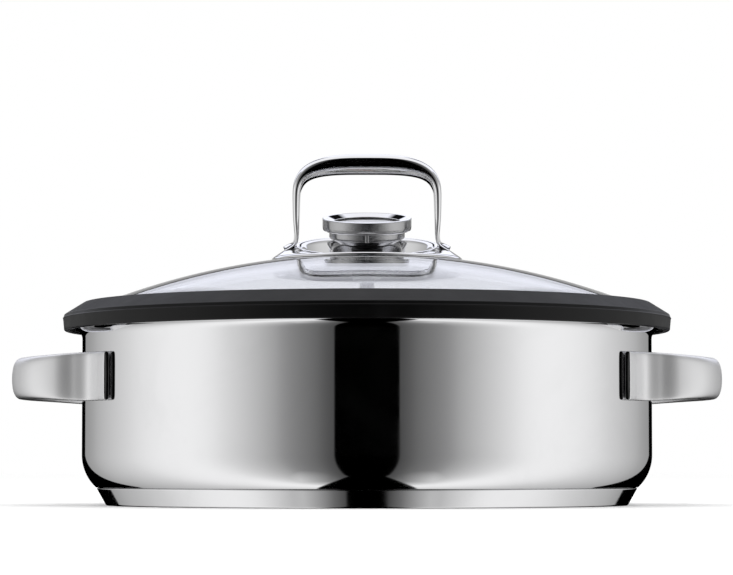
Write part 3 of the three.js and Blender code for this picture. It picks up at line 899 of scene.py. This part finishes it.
def model_pot():
    lip = POT_WALL / 2
    section = [
        (0, CORNER_HEIGHT - under_corner),
        *arc(floor_centre, CORNER_HEIGHT, under_corner, -90, seam_turn(under_corner), 8),
        *arc(POT_RADIUS - CORNER_RADIUS, CORNER_HEIGHT, CORNER_RADIUS, seam_turn(CORNER_RADIUS), 0, 20),
        *arc(POT_RADIUS + RIM_RADIUS, rim_start, RIM_RADIUS, 180, RIM_TURN, 14),
        *arc(POT_RADIUS + RIM_RADIUS - lip, POT_HEIGHT - lip, lip, -90, 90, 8),
        *arc(POT_RADIUS + RIM_RADIUS, rim_start, RIM_RADIUS + POT_WALL, RIM_TURN, 180, 14),
        *arc(floor_centre, CORNER_HEIGHT, inner_corner, 0, -90, 20),
        (0, floor_top),
    ]
    finished(turned("pot_shell", section, 256), "pot", "polished_steel", pot_steel, "pot_body")


def model_base():
    foot = cap_top - CAP_SLANT
    section = softened([
        (0, 0, 0),
        (foot, 0, 1.1),
        (cap_top, CAP_HEIGHT, 0.38),
        (cap_top - CAP_WALL, CAP_HEIGHT, 0.15),
        (foot - CAP_WALL, CAP_WALL, 0.8),
        (0, CAP_WALL, 0),
    ])
    finished(turned("base_band", section, 256), "pot", "polished_steel", base_steel, "base_cap")


def model_side_handles():
    tip = POT_RADIUS + GRIP_REACH - GRIP_THICKNESS / 2 - FACET

    def on_wall(y):
        return (math.sqrt(flange_radius ** 2 - y ** 2), y)

    arm = on_wall(ARM_SPREAD)[0]
    bow = tip - arm
    flange = (FLANGE_END, blend(ARM_SPREAD, FLANGE_END, 0.6), ARM_SPREAD * 1.07)
    half = [on_wall(y) for y in flange]
    half += [(arm + bow * out, ARM_SPREAD * along) for out, along in GRIP_COURSE]
    line = flowing(half + [(tip, 0)] + [(x, -y) for x, y in reversed(half)])
    runs = runs_along(line)
    sizes = []
    for i in range(0, len(line), 2):
        out = ease(line[i][0], arm, tip)
        thick = blend(FLANGE_THICKNESS, GRIP_THICKNESS, out ** GRIP_GROWTH)
        high = blend(FLANGE_HEIGHT, GRIP_HEIGHT, out)
        sizes.append((runs[i], thick / 2, high / 2, blend(FLANGE_POWER, GRIP_POWER, out)))
    right = bent_bar("loop_handle_right", line, soft_ends(sizes, edge=0.5, thin=0.7, low=0.95))
    bpy.ops.transform.translate(value=(0, 0, GRIP_LEVEL * MM))
    left = copied(right, "loop_handle_left")
    turn_about("Z", math.pi)
    for handle, name in ((right, "right"), (left, "left")):
        finished(handle, "pot", "satin_steel", handle_steel, f"side_handle_{name}")


# Steam tray with its feet, clips and folding wire bails

def model_tray():
    top = TRAY_LEVEL + TRAY_DEPTH
    under = TRAY_CORNER + TRAY_SHEET
    below_lip = top - LIP_ROOM
    section = [
        (0, TRAY_LEVEL - TRAY_SHEET),
        *arc(tray_flat, TRAY_LEVEL + TRAY_CORNER, under, -90, 0, 8),
        *softened([
            (tray_flat + under, below_lip, 0),
            (tray_flat + under, top - TRAY_SHEET, 0.4),
            (tray_rim, top - TRAY_SHEET, 0.36),
            (tray_rim, top, 0.36),
            (tray_wall, top, 1.1),
            (tray_wall, below_lip, 0),
        ]),
        *arc(tray_flat, TRAY_LEVEL + TRAY_CORNER, TRAY_CORNER, 0, -90, 8),
        (0, TRAY_LEVEL),
    ]
    tray = turned("tray_plate", section, 144)
    punch = lay_nothing("hole_punch")
    for row in range(HOLE_RINGS + 1):
        count = max(1, HOLE_STEP * row)
        for i in range(count):
            turn = row * HOLE_TWIST + 2 * math.pi * i / count
            spot = Vector((math.cos(turn), math.sin(turn), 0)) * row * HOLE_PITCH
            spot.z = TRAY_LEVEL
            bpy.ops.mesh.primitive_cylinder_add(vertices=24, radius=HOLE_RADIUS * MM,
                                                depth=PUNCH_LENGTH * MM, location=spot * MM)
    cut_away(tray, punch)
    finished(tray, "tray", "satin_steel", tray_steel, "steam_tray")


def model_tray_feet():
    high = TRAY_LEVEL - TRAY_SHEET - GAP - FOOT_SHEET / 2
    sole = floor_top + GAP + FOOT_SHEET / 2
    line = [
        (FOOT_TAB, high),
        *arc(FOOT_BEND, high - FOOT_BEND, FOOT_BEND, 90, 180, 6),
        *arc(-FOOT_BEND, sole + FOOT_BEND, FOOT_BEND, 0, -90, 6),
        (-FOOT_SOLE, sole),
    ]
    stand = HOLE_RINGS * HOLE_PITCH + HOLE_RADIUS + FOOT_CLEAR
    pattern = strip("tray_leg_pattern", line, FOOT_SHEET, FOOT_WIDTH)
    for name, turn in (("front_left", 225), ("front_right", 315), ("back_left", 135), ("back_right", 45)):
        leg = copied(pattern, f"tray_leg_{name}")
        bpy.ops.transform.translate(value=(stand * MM, 0, 0))
        turn_about("Z", math.radians(turn))
        finished(leg, "tray", "satin_steel", tray_steel, f"tray_foot_{name}")
    bpy.data.objects.remove(pattern)


def model_bails():
    level = TRAY_LEVEL + GAP + BAIL_WIRE
    tunnel = BAIL_WIRE + PLAY + CLIP_SHEET / 2
    axis = tray_flat - tunnel - CLIP_TAB - CLIP_CLEAR
    foot = TRAY_LEVEL + GAP + CLIP_SHEET / 2
    saddle = [
        (-tunnel - CLIP_TAB, foot),
        (-tunnel - CLIP_BEND, foot),
        *arc(0, level, tunnel, 180, 0, 14),
        (tunnel + CLIP_BEND, foot),
        (tunnel + CLIP_TAB, foot),
    ]
    near = arc(-BAIL_NEAR_CORNER, BAIL_HALF - BAIL_NEAR_CORNER, BAIL_NEAR_CORNER, 0, 90, 6)
    far = arc(-BAIL_REACH + BAIL_CORNER, BAIL_HALF - BAIL_CORNER, BAIL_CORNER, 90, 180, 10)
    half = near + far
    loop = half + [(x, -y) for x, y in reversed(half)]
    for name, turn in (("right", 0), ("left", math.pi)):
        clip = strip(f"clip_strap_{name}", saddle, CLIP_SHEET, CLIP_WIDTH)
        edit(clip)
        bpy.ops.transform.translate(value=(axis * MM, 0, 0))
        turn_about("Z", turn)
        finished(clip, "tray", "satin_steel", tray_steel, f"bail_clip_{name}")
        wire = lay_point(f"bail_wire_{name}")
        draw([(axis + x, y, level) for x, y in loop + loop[:1]])
        bpy.ops.mesh.remove_doubles(threshold=MERGE)
        turn_about("Z", turn)
        bpy.ops.object.mode_set(mode="OBJECT")
        bpy.ops.object.convert(target="CURVE")
        wire = bpy.context.object
        wire.data.bevel_depth = BAIL_WIRE * MM
        wire.data.bevel_resolution = 4
        bpy.ops.object.convert(target="MESH")
        wire = bpy.context.object
        edit(wire)
        heal()
        finished(wire, f"bail_{name}", "satin_steel", tray_steel, f"tray_bail_{name}", crease=60)


# Lid: glass dome, silicone rim, collar cup, gasket and bridge handle

def model_dome():
    steps = 28
    radii = [blend(GLASS_HOLE, glass_edge, i / steps) for i in range(steps + 1)]
    edge = GLASS_ROUND
    top = [(r, glass_top(r)) for r in radii]
    under = [(r, z - GLASS) for r, z in reversed(top)]
    outer = [(glass_edge, top[-1][1] - edge), (glass_edge, under[0][1] + edge)]
    inner = [(GLASS_HOLE, under[-1][1] + edge), (GLASS_HOLE, top[0][1] - edge)]
    top[0] = (top[0][0] + edge, top[0][1])
    top[-1] = (top[-1][0] - edge, top[-1][1])
    under[0] = (under[0][0] - edge, under[0][1])
    under[-1] = (under[-1][0] + edge, under[-1][1])
    section = top + outer + under + inner
    finished(turned("dome_glass", section + section[:1], 192), "lid", "lid_glass", dome_glass, "lid_glass")


def model_rim():
    seat = POT_HEIGHT + GAP
    skirt = POT_HEIGHT - SEAL_SKIRT
    crease = skirt + SEAL_BAND
    plug = POT_HEIGHT - SEAL_PLUG
    rim_outer = POT_RADIUS + RIM_RADIUS
    lip_inner = pot_inside - SEAL_LIP
    groove = glass_edge + GAP
    cover = seal_radius - COVER_RUN
    edge = cover - COVER_EDGE
    section = softened([
        (rim_outer + SEAL_PLAY, skirt, 0.5),
        (seal_radius - SEAL_TAPER, skirt, 1.0),
        (seal_radius - RIDGE, crease - RIDGE_RISE, 0.15),
        (seal_radius, crease, 0.12),
        (seal_radius - 0.3, crease + 0.4, 0.15),
        (seal_radius - SEAL_SHOULDER * 0.45, crease + SEAL_SHOULDER, 0.5),
        (cover, crease + SEAL_SHOULDER + COVER_RISE, 1.0),
        (edge, glass_top(edge) + GAP, 0.25),
        (groove, glass_top(groove) + GAP, 0.2),
        (groove, glass_top(groove) - GLASS - GAP, 0.3),
        (lip_inner, glass_top(lip_inner) - GLASS - GAP, 0.8),
        (lip_inner, seat, 1.2),
        (lip_inner + 1, plug, 1.0),
        (pot_inside - SEAL_LIP * 0.56, plug, 1.2),
        (pot_inside - SEAL_LIP * 0.25, seat, 1.0),
        (rim_outer + SEAL_PLAY, seat, 0.6),
    ], closed=True)
    finished(turned("rim_silicone", section, 256), "lid", "silicone", rim_silicone, "lid_seal", crease=28)


def collar_rings():
    """Rings of the collar's upper surface as (radius, lean, centre), from its outer edge to its bore."""
    nose = arc(COLLAR_RADIUS - NOSE_RADIUS, collar_edge - NOSE_DROP, NOSE_RADIUS, 0, NOSE_TURN, 6)
    rings = [(radius, 0, (0, 0, height)) for radius, height in nose[:-1]]
    flank_radius, flank_foot = nose[-1]
    rim_radius = RECESS_RADIUS + ROLL_RUN
    rim_along = RECESS_RISE - ROLL_FALL
    steps = 10
    for i in range(steps + 1):
        share = i / steps
        radius = blend(flank_radius, rim_radius, share)
        rise = share * rim_radius * math.sin(LEAN)
        spread = (1 - share) * flank_radius + share * rim_radius * math.cos(LEAN)
        height = blend(flank_foot, pivot_height + rim_along * math.cos(LEAN), share)
        centre = (0, -share * rim_along * math.sin(LEAN), height + bulge(FLANK_SWELL, share))
        rings.append((radius, math.atan2(rise, spread), centre))
    dish = softened([
        (rim_radius, rim_along, 0),
        (RECESS_RADIUS - 0.4, RECESS_RISE + 0.5, ROLL_RADIUS),
        (RECESS_RADIUS - 4, recess_floor, 4.4),
        (STEM_RADIUS + GAP, recess_floor, 0),
    ], steps=9)
    for radius, along in dish[1:]:
        rings.append((radius, LEAN, (0, -along * math.sin(LEAN), pivot_height + along * math.cos(LEAN))))
    return rings


def model_collar():
    rings = collar_rings()
    put_down()
    radius, lean, centre = rings[0]
    bpy.ops.mesh.primitive_circle_add(vertices=192, radius=radius * MM, location=Vector(centre) * MM)
    cup = bpy.context.object
    cup.name = "collar_cup"
    bpy.ops.object.transform_apply(location=True, rotation=True, scale=True)
    edit(cup)
    for next_radius, next_lean, next_centre in rings[1:]:
        step = (Vector(next_centre) - Vector(centre)) * MM
        middle = Vector(next_centre) * MM
        bpy.ops.mesh.extrude_edges_move(TRANSFORM_OT_translate={"value": step})
        bpy.ops.transform.resize(value=(next_radius / radius,) * 3, center_override=middle)
        if next_lean != lean:
            turn_about("X", next_lean - lean, middle)
        radius, lean, centre = next_radius, next_lean, next_centre
    heal()
    bpy.ops.object.mode_set(mode="OBJECT")
    if max(cup.data.polygons, key=lambda face: face.center.z).normal.z < 0:
        edit(cup)
        bpy.ops.mesh.flip_normals()
    modified(cup, "SOLIDIFY", thickness=COLLAR_SHEET * MM * 0.9, offset=-1, use_even_offset=True)
    finished(cup, "lid", "polished_steel", collar_steel, "lid_collar", crease=40)


def model_gasket():
    top = collar_edge - COLLAR_SHEET - GAP
    inner = COLLAR_RADIUS - GASKET_INNER
    outer = COLLAR_RADIUS - GASKET_OUTER
    lift = GAP / 2
    section = softened([
        (inner, glass_top(inner) + lift, 0.05),
        (outer, glass_top(outer) + lift, 0.12),
        (outer, top + lift, 0.12),
        (inner, top + lift, 0.05),
    ], closed=True, steps=3)
    finished(turned("collar_ring", section, 160), "lid", "silicone", rim_silicone, "collar_gasket")


def seat_height(x):
    """Height of the seat at the collar's sides that the bridge's feet are set to."""
    inner = RECESS_RADIUS + SEAT_INNER
    outer = COLLAR_RADIUS - SEAT_OUTER
    share = (outer - x) / (outer - inner)
    rim = pivot_height + (RECESS_RISE - SEAT_FALL) * math.cos(LEAN)
    return blend(collar_edge, rim, share) + bulge(SEAT_SWELL, share)


def model_bridge():
    leg_x = BRIDGE_HALF - BRIDGE_LEG / 2
    top = crown + BRIDGE_RISE - FACET
    leg_top = top - BRIDGE_CORNER
    bar_level = top - BRIDGE_BAR / 2
    half = []
    for share, rise, sheet, _ in FOOT_COURSE:
        x = leg_x + BRIDGE_FOOT * share
        level = seat_height(x) + FOOT_LIFT + BRIDGE_LEG * sheet / 2 + rise
        half.append((x, level, BRIDGE_LEG * sheet, LEG_POWER))
    half.append((leg_x, leg_top - BRIDGE_CORNER * 0.32, BRIDGE_LEG, LEG_POWER))
    steps = 14
    for i in range(steps + 1):
        angle = math.pi / 2 * i / steps
        across = max(math.cos(angle), 0) ** (2 / SHOULDER_POWER)
        rise = math.sin(angle) ** (2 / SHOULDER_POWER)
        half.append((leg_x * across, blend(leg_top, bar_level, rise),
                     blend(BRIDGE_LEG * SHOULDER_SWELL, BRIDGE_BAR, math.sin(angle) ** SHOULDER_GROWTH),
                     blend(LEG_POWER, BAR_POWER, math.sin(angle))))
    half[-1] = (0, *half[-1][1:])
    stations = half + [(-x, *rest) for x, *rest in reversed(half[:-1])]
    spacing = 6
    line = flowing([(x, z) for x, z, *_ in stations], spacing)
    runs = runs_along(line)[::spacing]
    sizes = [(run, sheet / 2, BRIDGE_WIDTH / 2, power)
             for run, (_, _, sheet, power) in zip(runs, stations)]
    sizes = soft_ends(sizes, edge=0.35, thin=0.6, low=0.94)
    foot = [-LEAN * twist for *_, twist in FOOT_COURSE]
    foot = foot[:1] + foot
    twists = foot + [0.0] * (len(sizes) - 2 * len(foot)) + foot[::-1]
    bridge = bent_bar("bridge_handle", line, sizes, twists)
    turn_about("X", math.pi / 2)
    finished(bridge, "lid", "polished_steel", lid_steel, "lid_handle")


# Thermometer

def model_case():
    section = softened([
        (STEM_RADIUS + GAP, case_foot, 0.2),
        (CASE_RADIUS * 0.77, case_foot, 0.5),
        (CASE_RADIUS, case_foot + CASE_CHAMFER, 1.6),
        (CASE_RADIUS, case_top, 0.25),
        (CASE_RADIUS - CASE_WALL, case_top, 0.25),
        (CASE_RADIUS - CASE_WALL, case_floor, 0.5),
        (STEM_RADIUS + GAP, case_floor, 0.2),
    ], closed=True)
    case = turned("gauge_case", [(r, pivot_height + s) for r, s in section], 144)
    flute = lay_nothing("flute_cutter")
    middle = (pivot_height + blend(case_foot, bezel_foot, 0.55)) * MM
    bpy.ops.mesh.primitive_cylinder_add(vertices=24, radius=FLUTE_RADIUS * MM, depth=FLUTE_LENGTH * MM,
                                        location=(0, -(CASE_RADIUS + FLUTE_OFFSET) * MM, middle))
    cut_away(case, flute)
    edit(case)
    turn_about("X", LEAN, PIVOT)
    finished(case, "lid", "satin_steel", gauge_steel, "thermometer_case")


def model_bezel():
    section = softened([
        (CASE_RADIUS + GAP, bezel_foot, 0.15),
        (BEZEL_RADIUS - BEZEL_TAPER, bezel_foot, 1.2),
        (BEZEL_RADIUS, bezel_foot + BEZEL_BAND, 0.6),
        (BEZEL_RADIUS, THERMO_TOP - 0.1, 0.45),
        (CASE_RADIUS + BEZEL_LIP, THERMO_TOP, 0.35),
        (CASE_RADIUS - BEZEL_LEDGE, lens_top + GAP, 0.2),
        (CASE_RADIUS + GAP, lens_top + GAP, 0.1),
    ], closed=True)
    finished(leaning("gauge_bezel", section, 160), "lid", "satin_steel", bezel_steel, "thermometer_bezel")


def model_window():
    low = case_top + GAP
    section = [
        (0, low),
        (CASE_RADIUS - LENS_CHAMFER, low),
        (CASE_RADIUS, low + LENS_CHAMFER),
        (CASE_RADIUS, lens_top - LENS_ROUND),
        (CASE_RADIUS - LENS_ROUND, lens_top - LENS_CROWN),
    ]
    steps = 8
    for i in range(1, steps + 1):
        share = 1 - i / steps
        section.append((CASE_RADIUS * share, lens_top - LENS_CROWN * share ** 2))
    finished(leaning("gauge_window", section, 96), "lid", "lid_glass", window_glass, "thermometer_lens")


def model_dial():
    section = softened([
        (DIAL_BORE, dial_top - DIAL_SHEET, 0.1),
        (dial_radius, dial_top - DIAL_SHEET, 0.15),
        (dial_radius, dial_top, 0.2),
        (dial_radius - 1.0, dial_top - DIAL_SINK, 0.1),
        (DIAL_BORE, dial_top - DIAL_SINK, 0.1),
    ], closed=True, steps=3)
    finished(leaning("gauge_face", section, 96), "lid", "dial_enamel", dial_enamel, "thermometer_dial")
    face = (pivot_height + dial_top - DIAL_SINK) * MM
    model_dial_ticks(face)
    model_dial_numbers(face)


def model_dial_ticks(face):
    """One tick is drawn at the start of the scale and stepped round it."""
    ticks = lay_nothing("gauge_ticks")
    sweep = math.radians(NEEDLE_SWEEP)
    for steps, inner, width in ((50, 14.6, 0.16), (10, 13.6, 0.28)):
        bpy.ops.mesh.select_all(action="DESELECT")
        bpy.ops.mesh.primitive_cube_add(size=MM)
        bpy.ops.transform.resize(value=(TICK_OUTER - inner, width, INK), center_override=(0, 0, 0))
        bpy.ops.transform.translate(value=((TICK_OUTER + inner) / 2 * MM, 0, face + INK / 2 * MM))
        turn_about("Z", math.radians(NEEDLE_REST))
        bpy.ops.mesh.spin(steps=steps, dupli=True, angle=-sweep, center=(0, 0, 0), axis=(0, 0, 1))
    bpy.ops.mesh.select_all(action="SELECT")
    bpy.ops.mesh.normals_make_consistent(inside=False)
    turn_about("X", LEAN, PIVOT)
    finished(ticks, "lid", "needle_paint", dial_ink)


def model_dial_numbers(face):
    """Degrees from 20 to 120, upright round the scale, and their unit below the middle."""
    steps = 5
    spots = []
    for i in range(steps + 1):
        turn = NEEDLE_REST - NEEDLE_SWEEP * i / steps
        spots.append((str(20 + 20 * i), turn, NUMBER_RADIUS, NUMBER_SIZE))
    spots.append(("°C", 270, UNIT_RADIUS, UNIT_SIZE))
    words = []
    for label, turn, out, size in spots:
        put_down()
        way = Vector((math.cos(math.radians(turn)), math.sin(math.radians(turn)), 0))
        bpy.ops.object.text_add(location=way * out * MM + Vector((0, 0, face)))
        word = bpy.context.object
        word.data.body = label
        word.data.size = size * MM
        word.data.align_x = "CENTER"
        word.data.align_y = "CENTER"
        word.data.extrude = INK / 2 * MM
        word.data.resolution_u = 4
        bpy.ops.object.convert(target="MESH")
        words.append(bpy.context.object)
    put_down()
    for word in words:
        word.select_set(True)
    bpy.context.view_layer.objects.active = words[0]
    bpy.ops.object.join()
    numbers = bpy.context.object
    numbers.name = "gauge_numbers"
    bpy.ops.object.transform_apply(location=True, rotation=True, scale=True)
    edit(numbers)
    heal()
    turn_about("X", LEAN, PIVOT)
    finished(numbers, "lid", "needle_paint", dial_ink)


def model_needle():
    """A tapered blade with a counterweight tail and a round hub."""
    level = pivot_height + needle_level
    outline = NEEDLE_SIDE + [(x, -y) for x, y in reversed(NEEDLE_SIDE[:-1])]
    needle = lay_point("gauge_needle")
    draw([(x, y, level) for x, y in outline])
    bpy.ops.mesh.edge_face_add()
    bpy.ops.mesh.extrude_region_move(TRANSFORM_OT_translate={"value": (0, 0, NEEDLE_SHEET * MM)})
    heal()
    bevelled(needle, 0.1, 2, 60)
    hub_section = softened([
        (0, -HUB_DROP, 0),
        (HUB_RADIUS, -HUB_DROP, 0.1),
        (HUB_RADIUS, HUB_RISE, 0.35),
        (0, HUB_RISE + HUB_CROWN, 0),
    ])
    hub = turned("needle_hub", [(r, level + s) for r, s in hub_section], 48)
    bpy.ops.object.mode_set(mode="OBJECT")
    modified(needle, "BOOLEAN", operation="UNION", object=hub, solver="EXACT")
    bpy.data.objects.remove(hub)
    edit(needle)
    turn_about("Z", math.radians(NEEDLE_REST))
    turn_about("X", LEAN, PIVOT)
    finished(needle, "pointer", "needle_paint", needle_paint, "needle")


def model_gland():
    section = softened([
        (STEM_RADIUS + GAP, recess_floor + GAP, 0.2),
        (GLAND_NECK, recess_floor + GAP, 0.4),
        (GLAND_NECK, case_foot - GLAND_FLANGE - GLAND_TAPER, 1.0),
        (GLAND_RADIUS, case_foot - GLAND_FLANGE, 0.3),
        (GLAND_RADIUS, case_foot - GAP, 0.5),
        (STEM_RADIUS + GAP, case_foot - GAP, 0.2),
    ], closed=True)
    finished(leaning("gauge_gland", section, 96), "lid", "silicone", gland_rubber, "thermometer_gland")


def model_probe():
    tip = recess_floor - STEM_REACH
    bore = STEM_RADIUS - STEM_WALL
    section = softened([
        (0, tip, 0),
        (STEM_RADIUS, tip, 1.6),
        (STEM_RADIUS, case_floor, 0.2),
        (bore, case_floor, 0.2),
        (bore, tip + STEM_TIP, 0.4),
        (0, tip + STEM_TIP, 0),
    ])
    finished(leaning("gauge_probe", section, 64), "lid", "satin_steel", gauge_steel, "thermometer_stem")


def model_nut():
    top = recess_floor - COLLAR_SHEET - 2 * GAP - WASHER
    middle = (0, 0, (pivot_height + top - NUT_THICKNESS / 2) * MM)
    put_down()
    bpy.ops.mesh.primitive_cylinder_add(vertices=6, radius=(STEM_RADIUS + NUT_REACH) * MM,
                                        depth=NUT_THICKNESS * MM, location=middle)
    nut = bpy.context.object
    nut.name = "gauge_nut"
    bpy.ops.object.transform_apply(location=True, rotation=True, scale=True)
    put_down()
    bpy.ops.mesh.primitive_cylinder_add(vertices=48, radius=(STEM_RADIUS + GAP) * MM,
                                        depth=2 * NUT_THICKNESS * MM, location=middle)
    cut_away(nut, bpy.context.object)
    bevelled(nut, 0.35, 3, 40)
    edit(nut)
    turn_about("X", LEAN, PIVOT)
    finished(nut, "lid", "polished_steel", lid_steel, "thermometer_nut")


def finish_kept_solids():
    """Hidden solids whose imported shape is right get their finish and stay."""
    kept = {
        "base_core": base_aluminium,
        "thermometer_washer": gland_rubber,
        "bimetal_coil": coil_brass,
        "needle_shaft": gauge_steel,
    }
    for name, material in kept.items():
        solid = bpy.data.objects[name]
        solid.data.materials.clear()
        solid.data.materials.append(material)


# Studio: pale floor, soft light and the camera

FLOOR_SIZE = 14
LAMP_POWER = 8
LAMP_SIZE = 1.4
LAMP_PLACE = (0, -0.2, 1.6)
CAMERA_PLACE = (-0.00025, -1.564, 0.0189)
CAMERA_PITCH = math.radians(3.272)
CAMERA_LENS = 154.2
SENSOR_WIDTH = 36

# Brightness of the side panels by turn, from straight ahead (0) to straight behind (1)
PANELS = [(0.0, 0.04), (0.1, 0.13), (0.2, 0.39), (0.333, 0.83), (0.45, 0.97), (0.6, 0.77), (0.77, 0.46),
          (0.9, 0.29), (1.0, 0.24)]

# Both ends of each soft edge in the studio, by the sine of height or depth
STRIP_UNDERFOOT = (0.62, 1.0)
STRIP_BACK_TOP = (0.044, 0.05)
BACKDROP_FOOT = (0.046, 0.05)
BACKDROP_FADE = (0.05, 0.22)
BACKDROP_HEAD = (0.216, 0.222)
GAP_FOOT = (0.05, 0.09)
PANEL_HEAD = (0.2, 0.4)
SOFTBOX_FOOT = (0.232, 0.24)
SOFTBOX_CROWN = (0.65, 0.95)
FLAG_HEAD = (0.70, 0.78)
FLOOR_GLOW = (0.45, 0.99)

# By the way aside over the way back
BACKDROP_HALF = (0.34, 0.40)
FLAG_INNER = (0.15, 0.18)
FLAG_OUTER = (0.33, 0.36)

# By the way aside: past the strip, alone, and over one more than the way to the front
STRIP_EDGE = (-0.006, 0.006)
SOFTBOX_HALF = (0.66, 0.74)
FLOOR_GLOW_HALF = (0.08, 0.24)

# By the way back or to the front
SOFTBOX_FRONT = (-0.31, -0.25)
FLOOR_GLOW_BACK = (-0.5, -0.1)
BACK_START = (0.01, 0.03)


def lay_floor():
    put_down()
    bpy.ops.mesh.primitive_plane_add(size=FLOOR_SIZE, location=(0, 0, 0))
    floor = bpy.context.object
    floor.name = "studio_floor"
    paper = Finish("floor_white_paper", (0.99, 0.99, 0.99), 0.0, 0.9, Specular_IOR_Level=0.0)
    floor.data.materials.append(paper.material)
    floor.visible_glossy = False


def panel_ramp(tree, turn):
    """Brightness of the panels at a turn."""
    ramp = put(tree, "ShaderNodeValToRGB", {"Fac": turn})
    ramp.color_ramp.interpolation = "CARDINAL"
    stops = ramp.color_ramp.elements
    while len(stops) < len(PANELS):
        stops.new(0.5)
    for stop, (at, level) in zip(stops, PANELS):
        stop.position = at
        stop.color = (level, level, level, 1)
    return Value(tree, ramp.outputs["Color"])


def build_studio_world():
    """White to the eye; polished metal sees a studio of panels.

    Bright panels stand at both sides, with a dark strip between them that runs up the front, under the pot
    and away behind it. Behind the pot a pale backdrop rises to a dark gap, and above the gap a long softbox
    reaches over the pot, with a dark flag at each side.
    """
    world = bpy.data.worlds.new("studio")
    world.use_nodes = True
    bpy.context.scene.world = world
    tree = world.node_tree
    tree.nodes.clear()
    x, back, up = value(tree, "ShaderNodeTexCoord", output="Generated").parts()
    aside = x.math("ABSOLUTE")
    front = back * -1
    behind = back.most(0)
    down = (up * -1).most(0)
    panels = panel_ramp(tree, aside.math("ARCTAN2", front) / math.pi)

    front_half = (front * 0.25 - 0.025).math("MINIMUM", front * 0.45 - 0.145)
    floor_half = down.ranged(*STRIP_UNDERFOOT, 0.0, 0.185)
    back_half = (down * 1.2 + 0.455) * behind * behind * up.falls(*STRIP_BACK_TOP)
    clear_of_strip = (aside - front_half.most(floor_half, back_half)).rises(*STRIP_EDGE)

    off_centre = aside / behind.most(0.001)
    near_centre = off_centre.falls(*BACKDROP_HALF) * behind.rises(*BACK_START)
    beside_gap = (near_centre * up.rises(*GAP_FOOT)).ranged(0, 1, 1.0, 0.04)
    sides = panels * clear_of_strip * beside_gap * up.ranged(*PANEL_HEAD, 1.0, 0.5)
    backdrop = (up.rises(*BACKDROP_FOOT) * up.ranged(*BACKDROP_FADE, 0.75, 0.35)
                * up.falls(*BACKDROP_HEAD) * near_centre)
    flags = off_centre.rises(*FLAG_INNER) * off_centre.falls(*FLAG_OUTER) * up.falls(*FLAG_HEAD)
    softbox = (flags.falls(0, 1) * up.rises(*SOFTBOX_FOOT) * back.rises(*SOFTBOX_FRONT)
               * aside.falls(*SOFTBOX_HALF))
    spread = aside / (front + 1).most(0.05)
    underfoot = (down.ranged(*FLOOR_GLOW, 0.0, 0.8) * spread.rises(*FLOOR_GLOW_HALF)
                 * front.rises(*FLOOR_GLOW_BACK) * clear_of_strip)

    studio = sides.most(backdrop, underfoot)
    lit = {}
    for channel, low, high in (("Red", 1.05, 0.98), ("Green", 1.07, 0.98), ("Blue", 1.18, 1.0)):
        lit[channel] = studio.most(softbox * up.ranged(*SOFTBOX_CROWN, low, high))
    mirrored = value(tree, "ShaderNodeLightPath", output="Glossy Depth").math("GREATER_THAN", 0.5)
    seen = value(tree, "ShaderNodeMix", {
        "Factor": mirrored, "A": (1, 1, 1, 1), "B": value(tree, "ShaderNodeCombineColor", lit),
    }, "Result", data_type="RGBA")
    light = value(tree, "ShaderNodeBackground", {"Color": seen, "Strength": 1.0})
    put(tree, "ShaderNodeOutputWorld", {"Surface": light})


def hang_lamp():
    lamp = bpy.data.lights.new("overhead_softbox", "AREA")
    lamp.energy = LAMP_POWER
    lamp.size = LAMP_SIZE
    softbox = bpy.data.objects.new("overhead_softbox", lamp)
    softbox.location = LAMP_PLACE
    softbox.visible_glossy = False
    bpy.context.scene.collection.objects.link(softbox)


def set_camera():
    lens = bpy.data.cameras.new("photo_camera")
    lens.sensor_width = SENSOR_WIDTH
    lens.lens = CAMERA_LENS
    camera = bpy.data.objects.new("photo_camera", lens)
    camera.location = CAMERA_PLACE
    camera.rotation_euler = (math.pi / 2 + CAMERA_PITCH, 0, 0)
    bpy.context.scene.collection.objects.link(camera)
    bpy.context.scene.camera = camera
    bpy.context.scene.view_settings.view_transform = "Standard"


for step in (model_pot, model_base, model_side_handles, model_tray, model_tray_feet, model_bails,
             model_dome, model_rim, model_collar, model_gasket, model_bridge, model_case, model_bezel,
             model_window, model_dial, model_needle, model_gland, model_probe, model_nut,
             finish_kept_solids, lay_floor, build_studio_world, hang_lamp, set_camera):
    step()
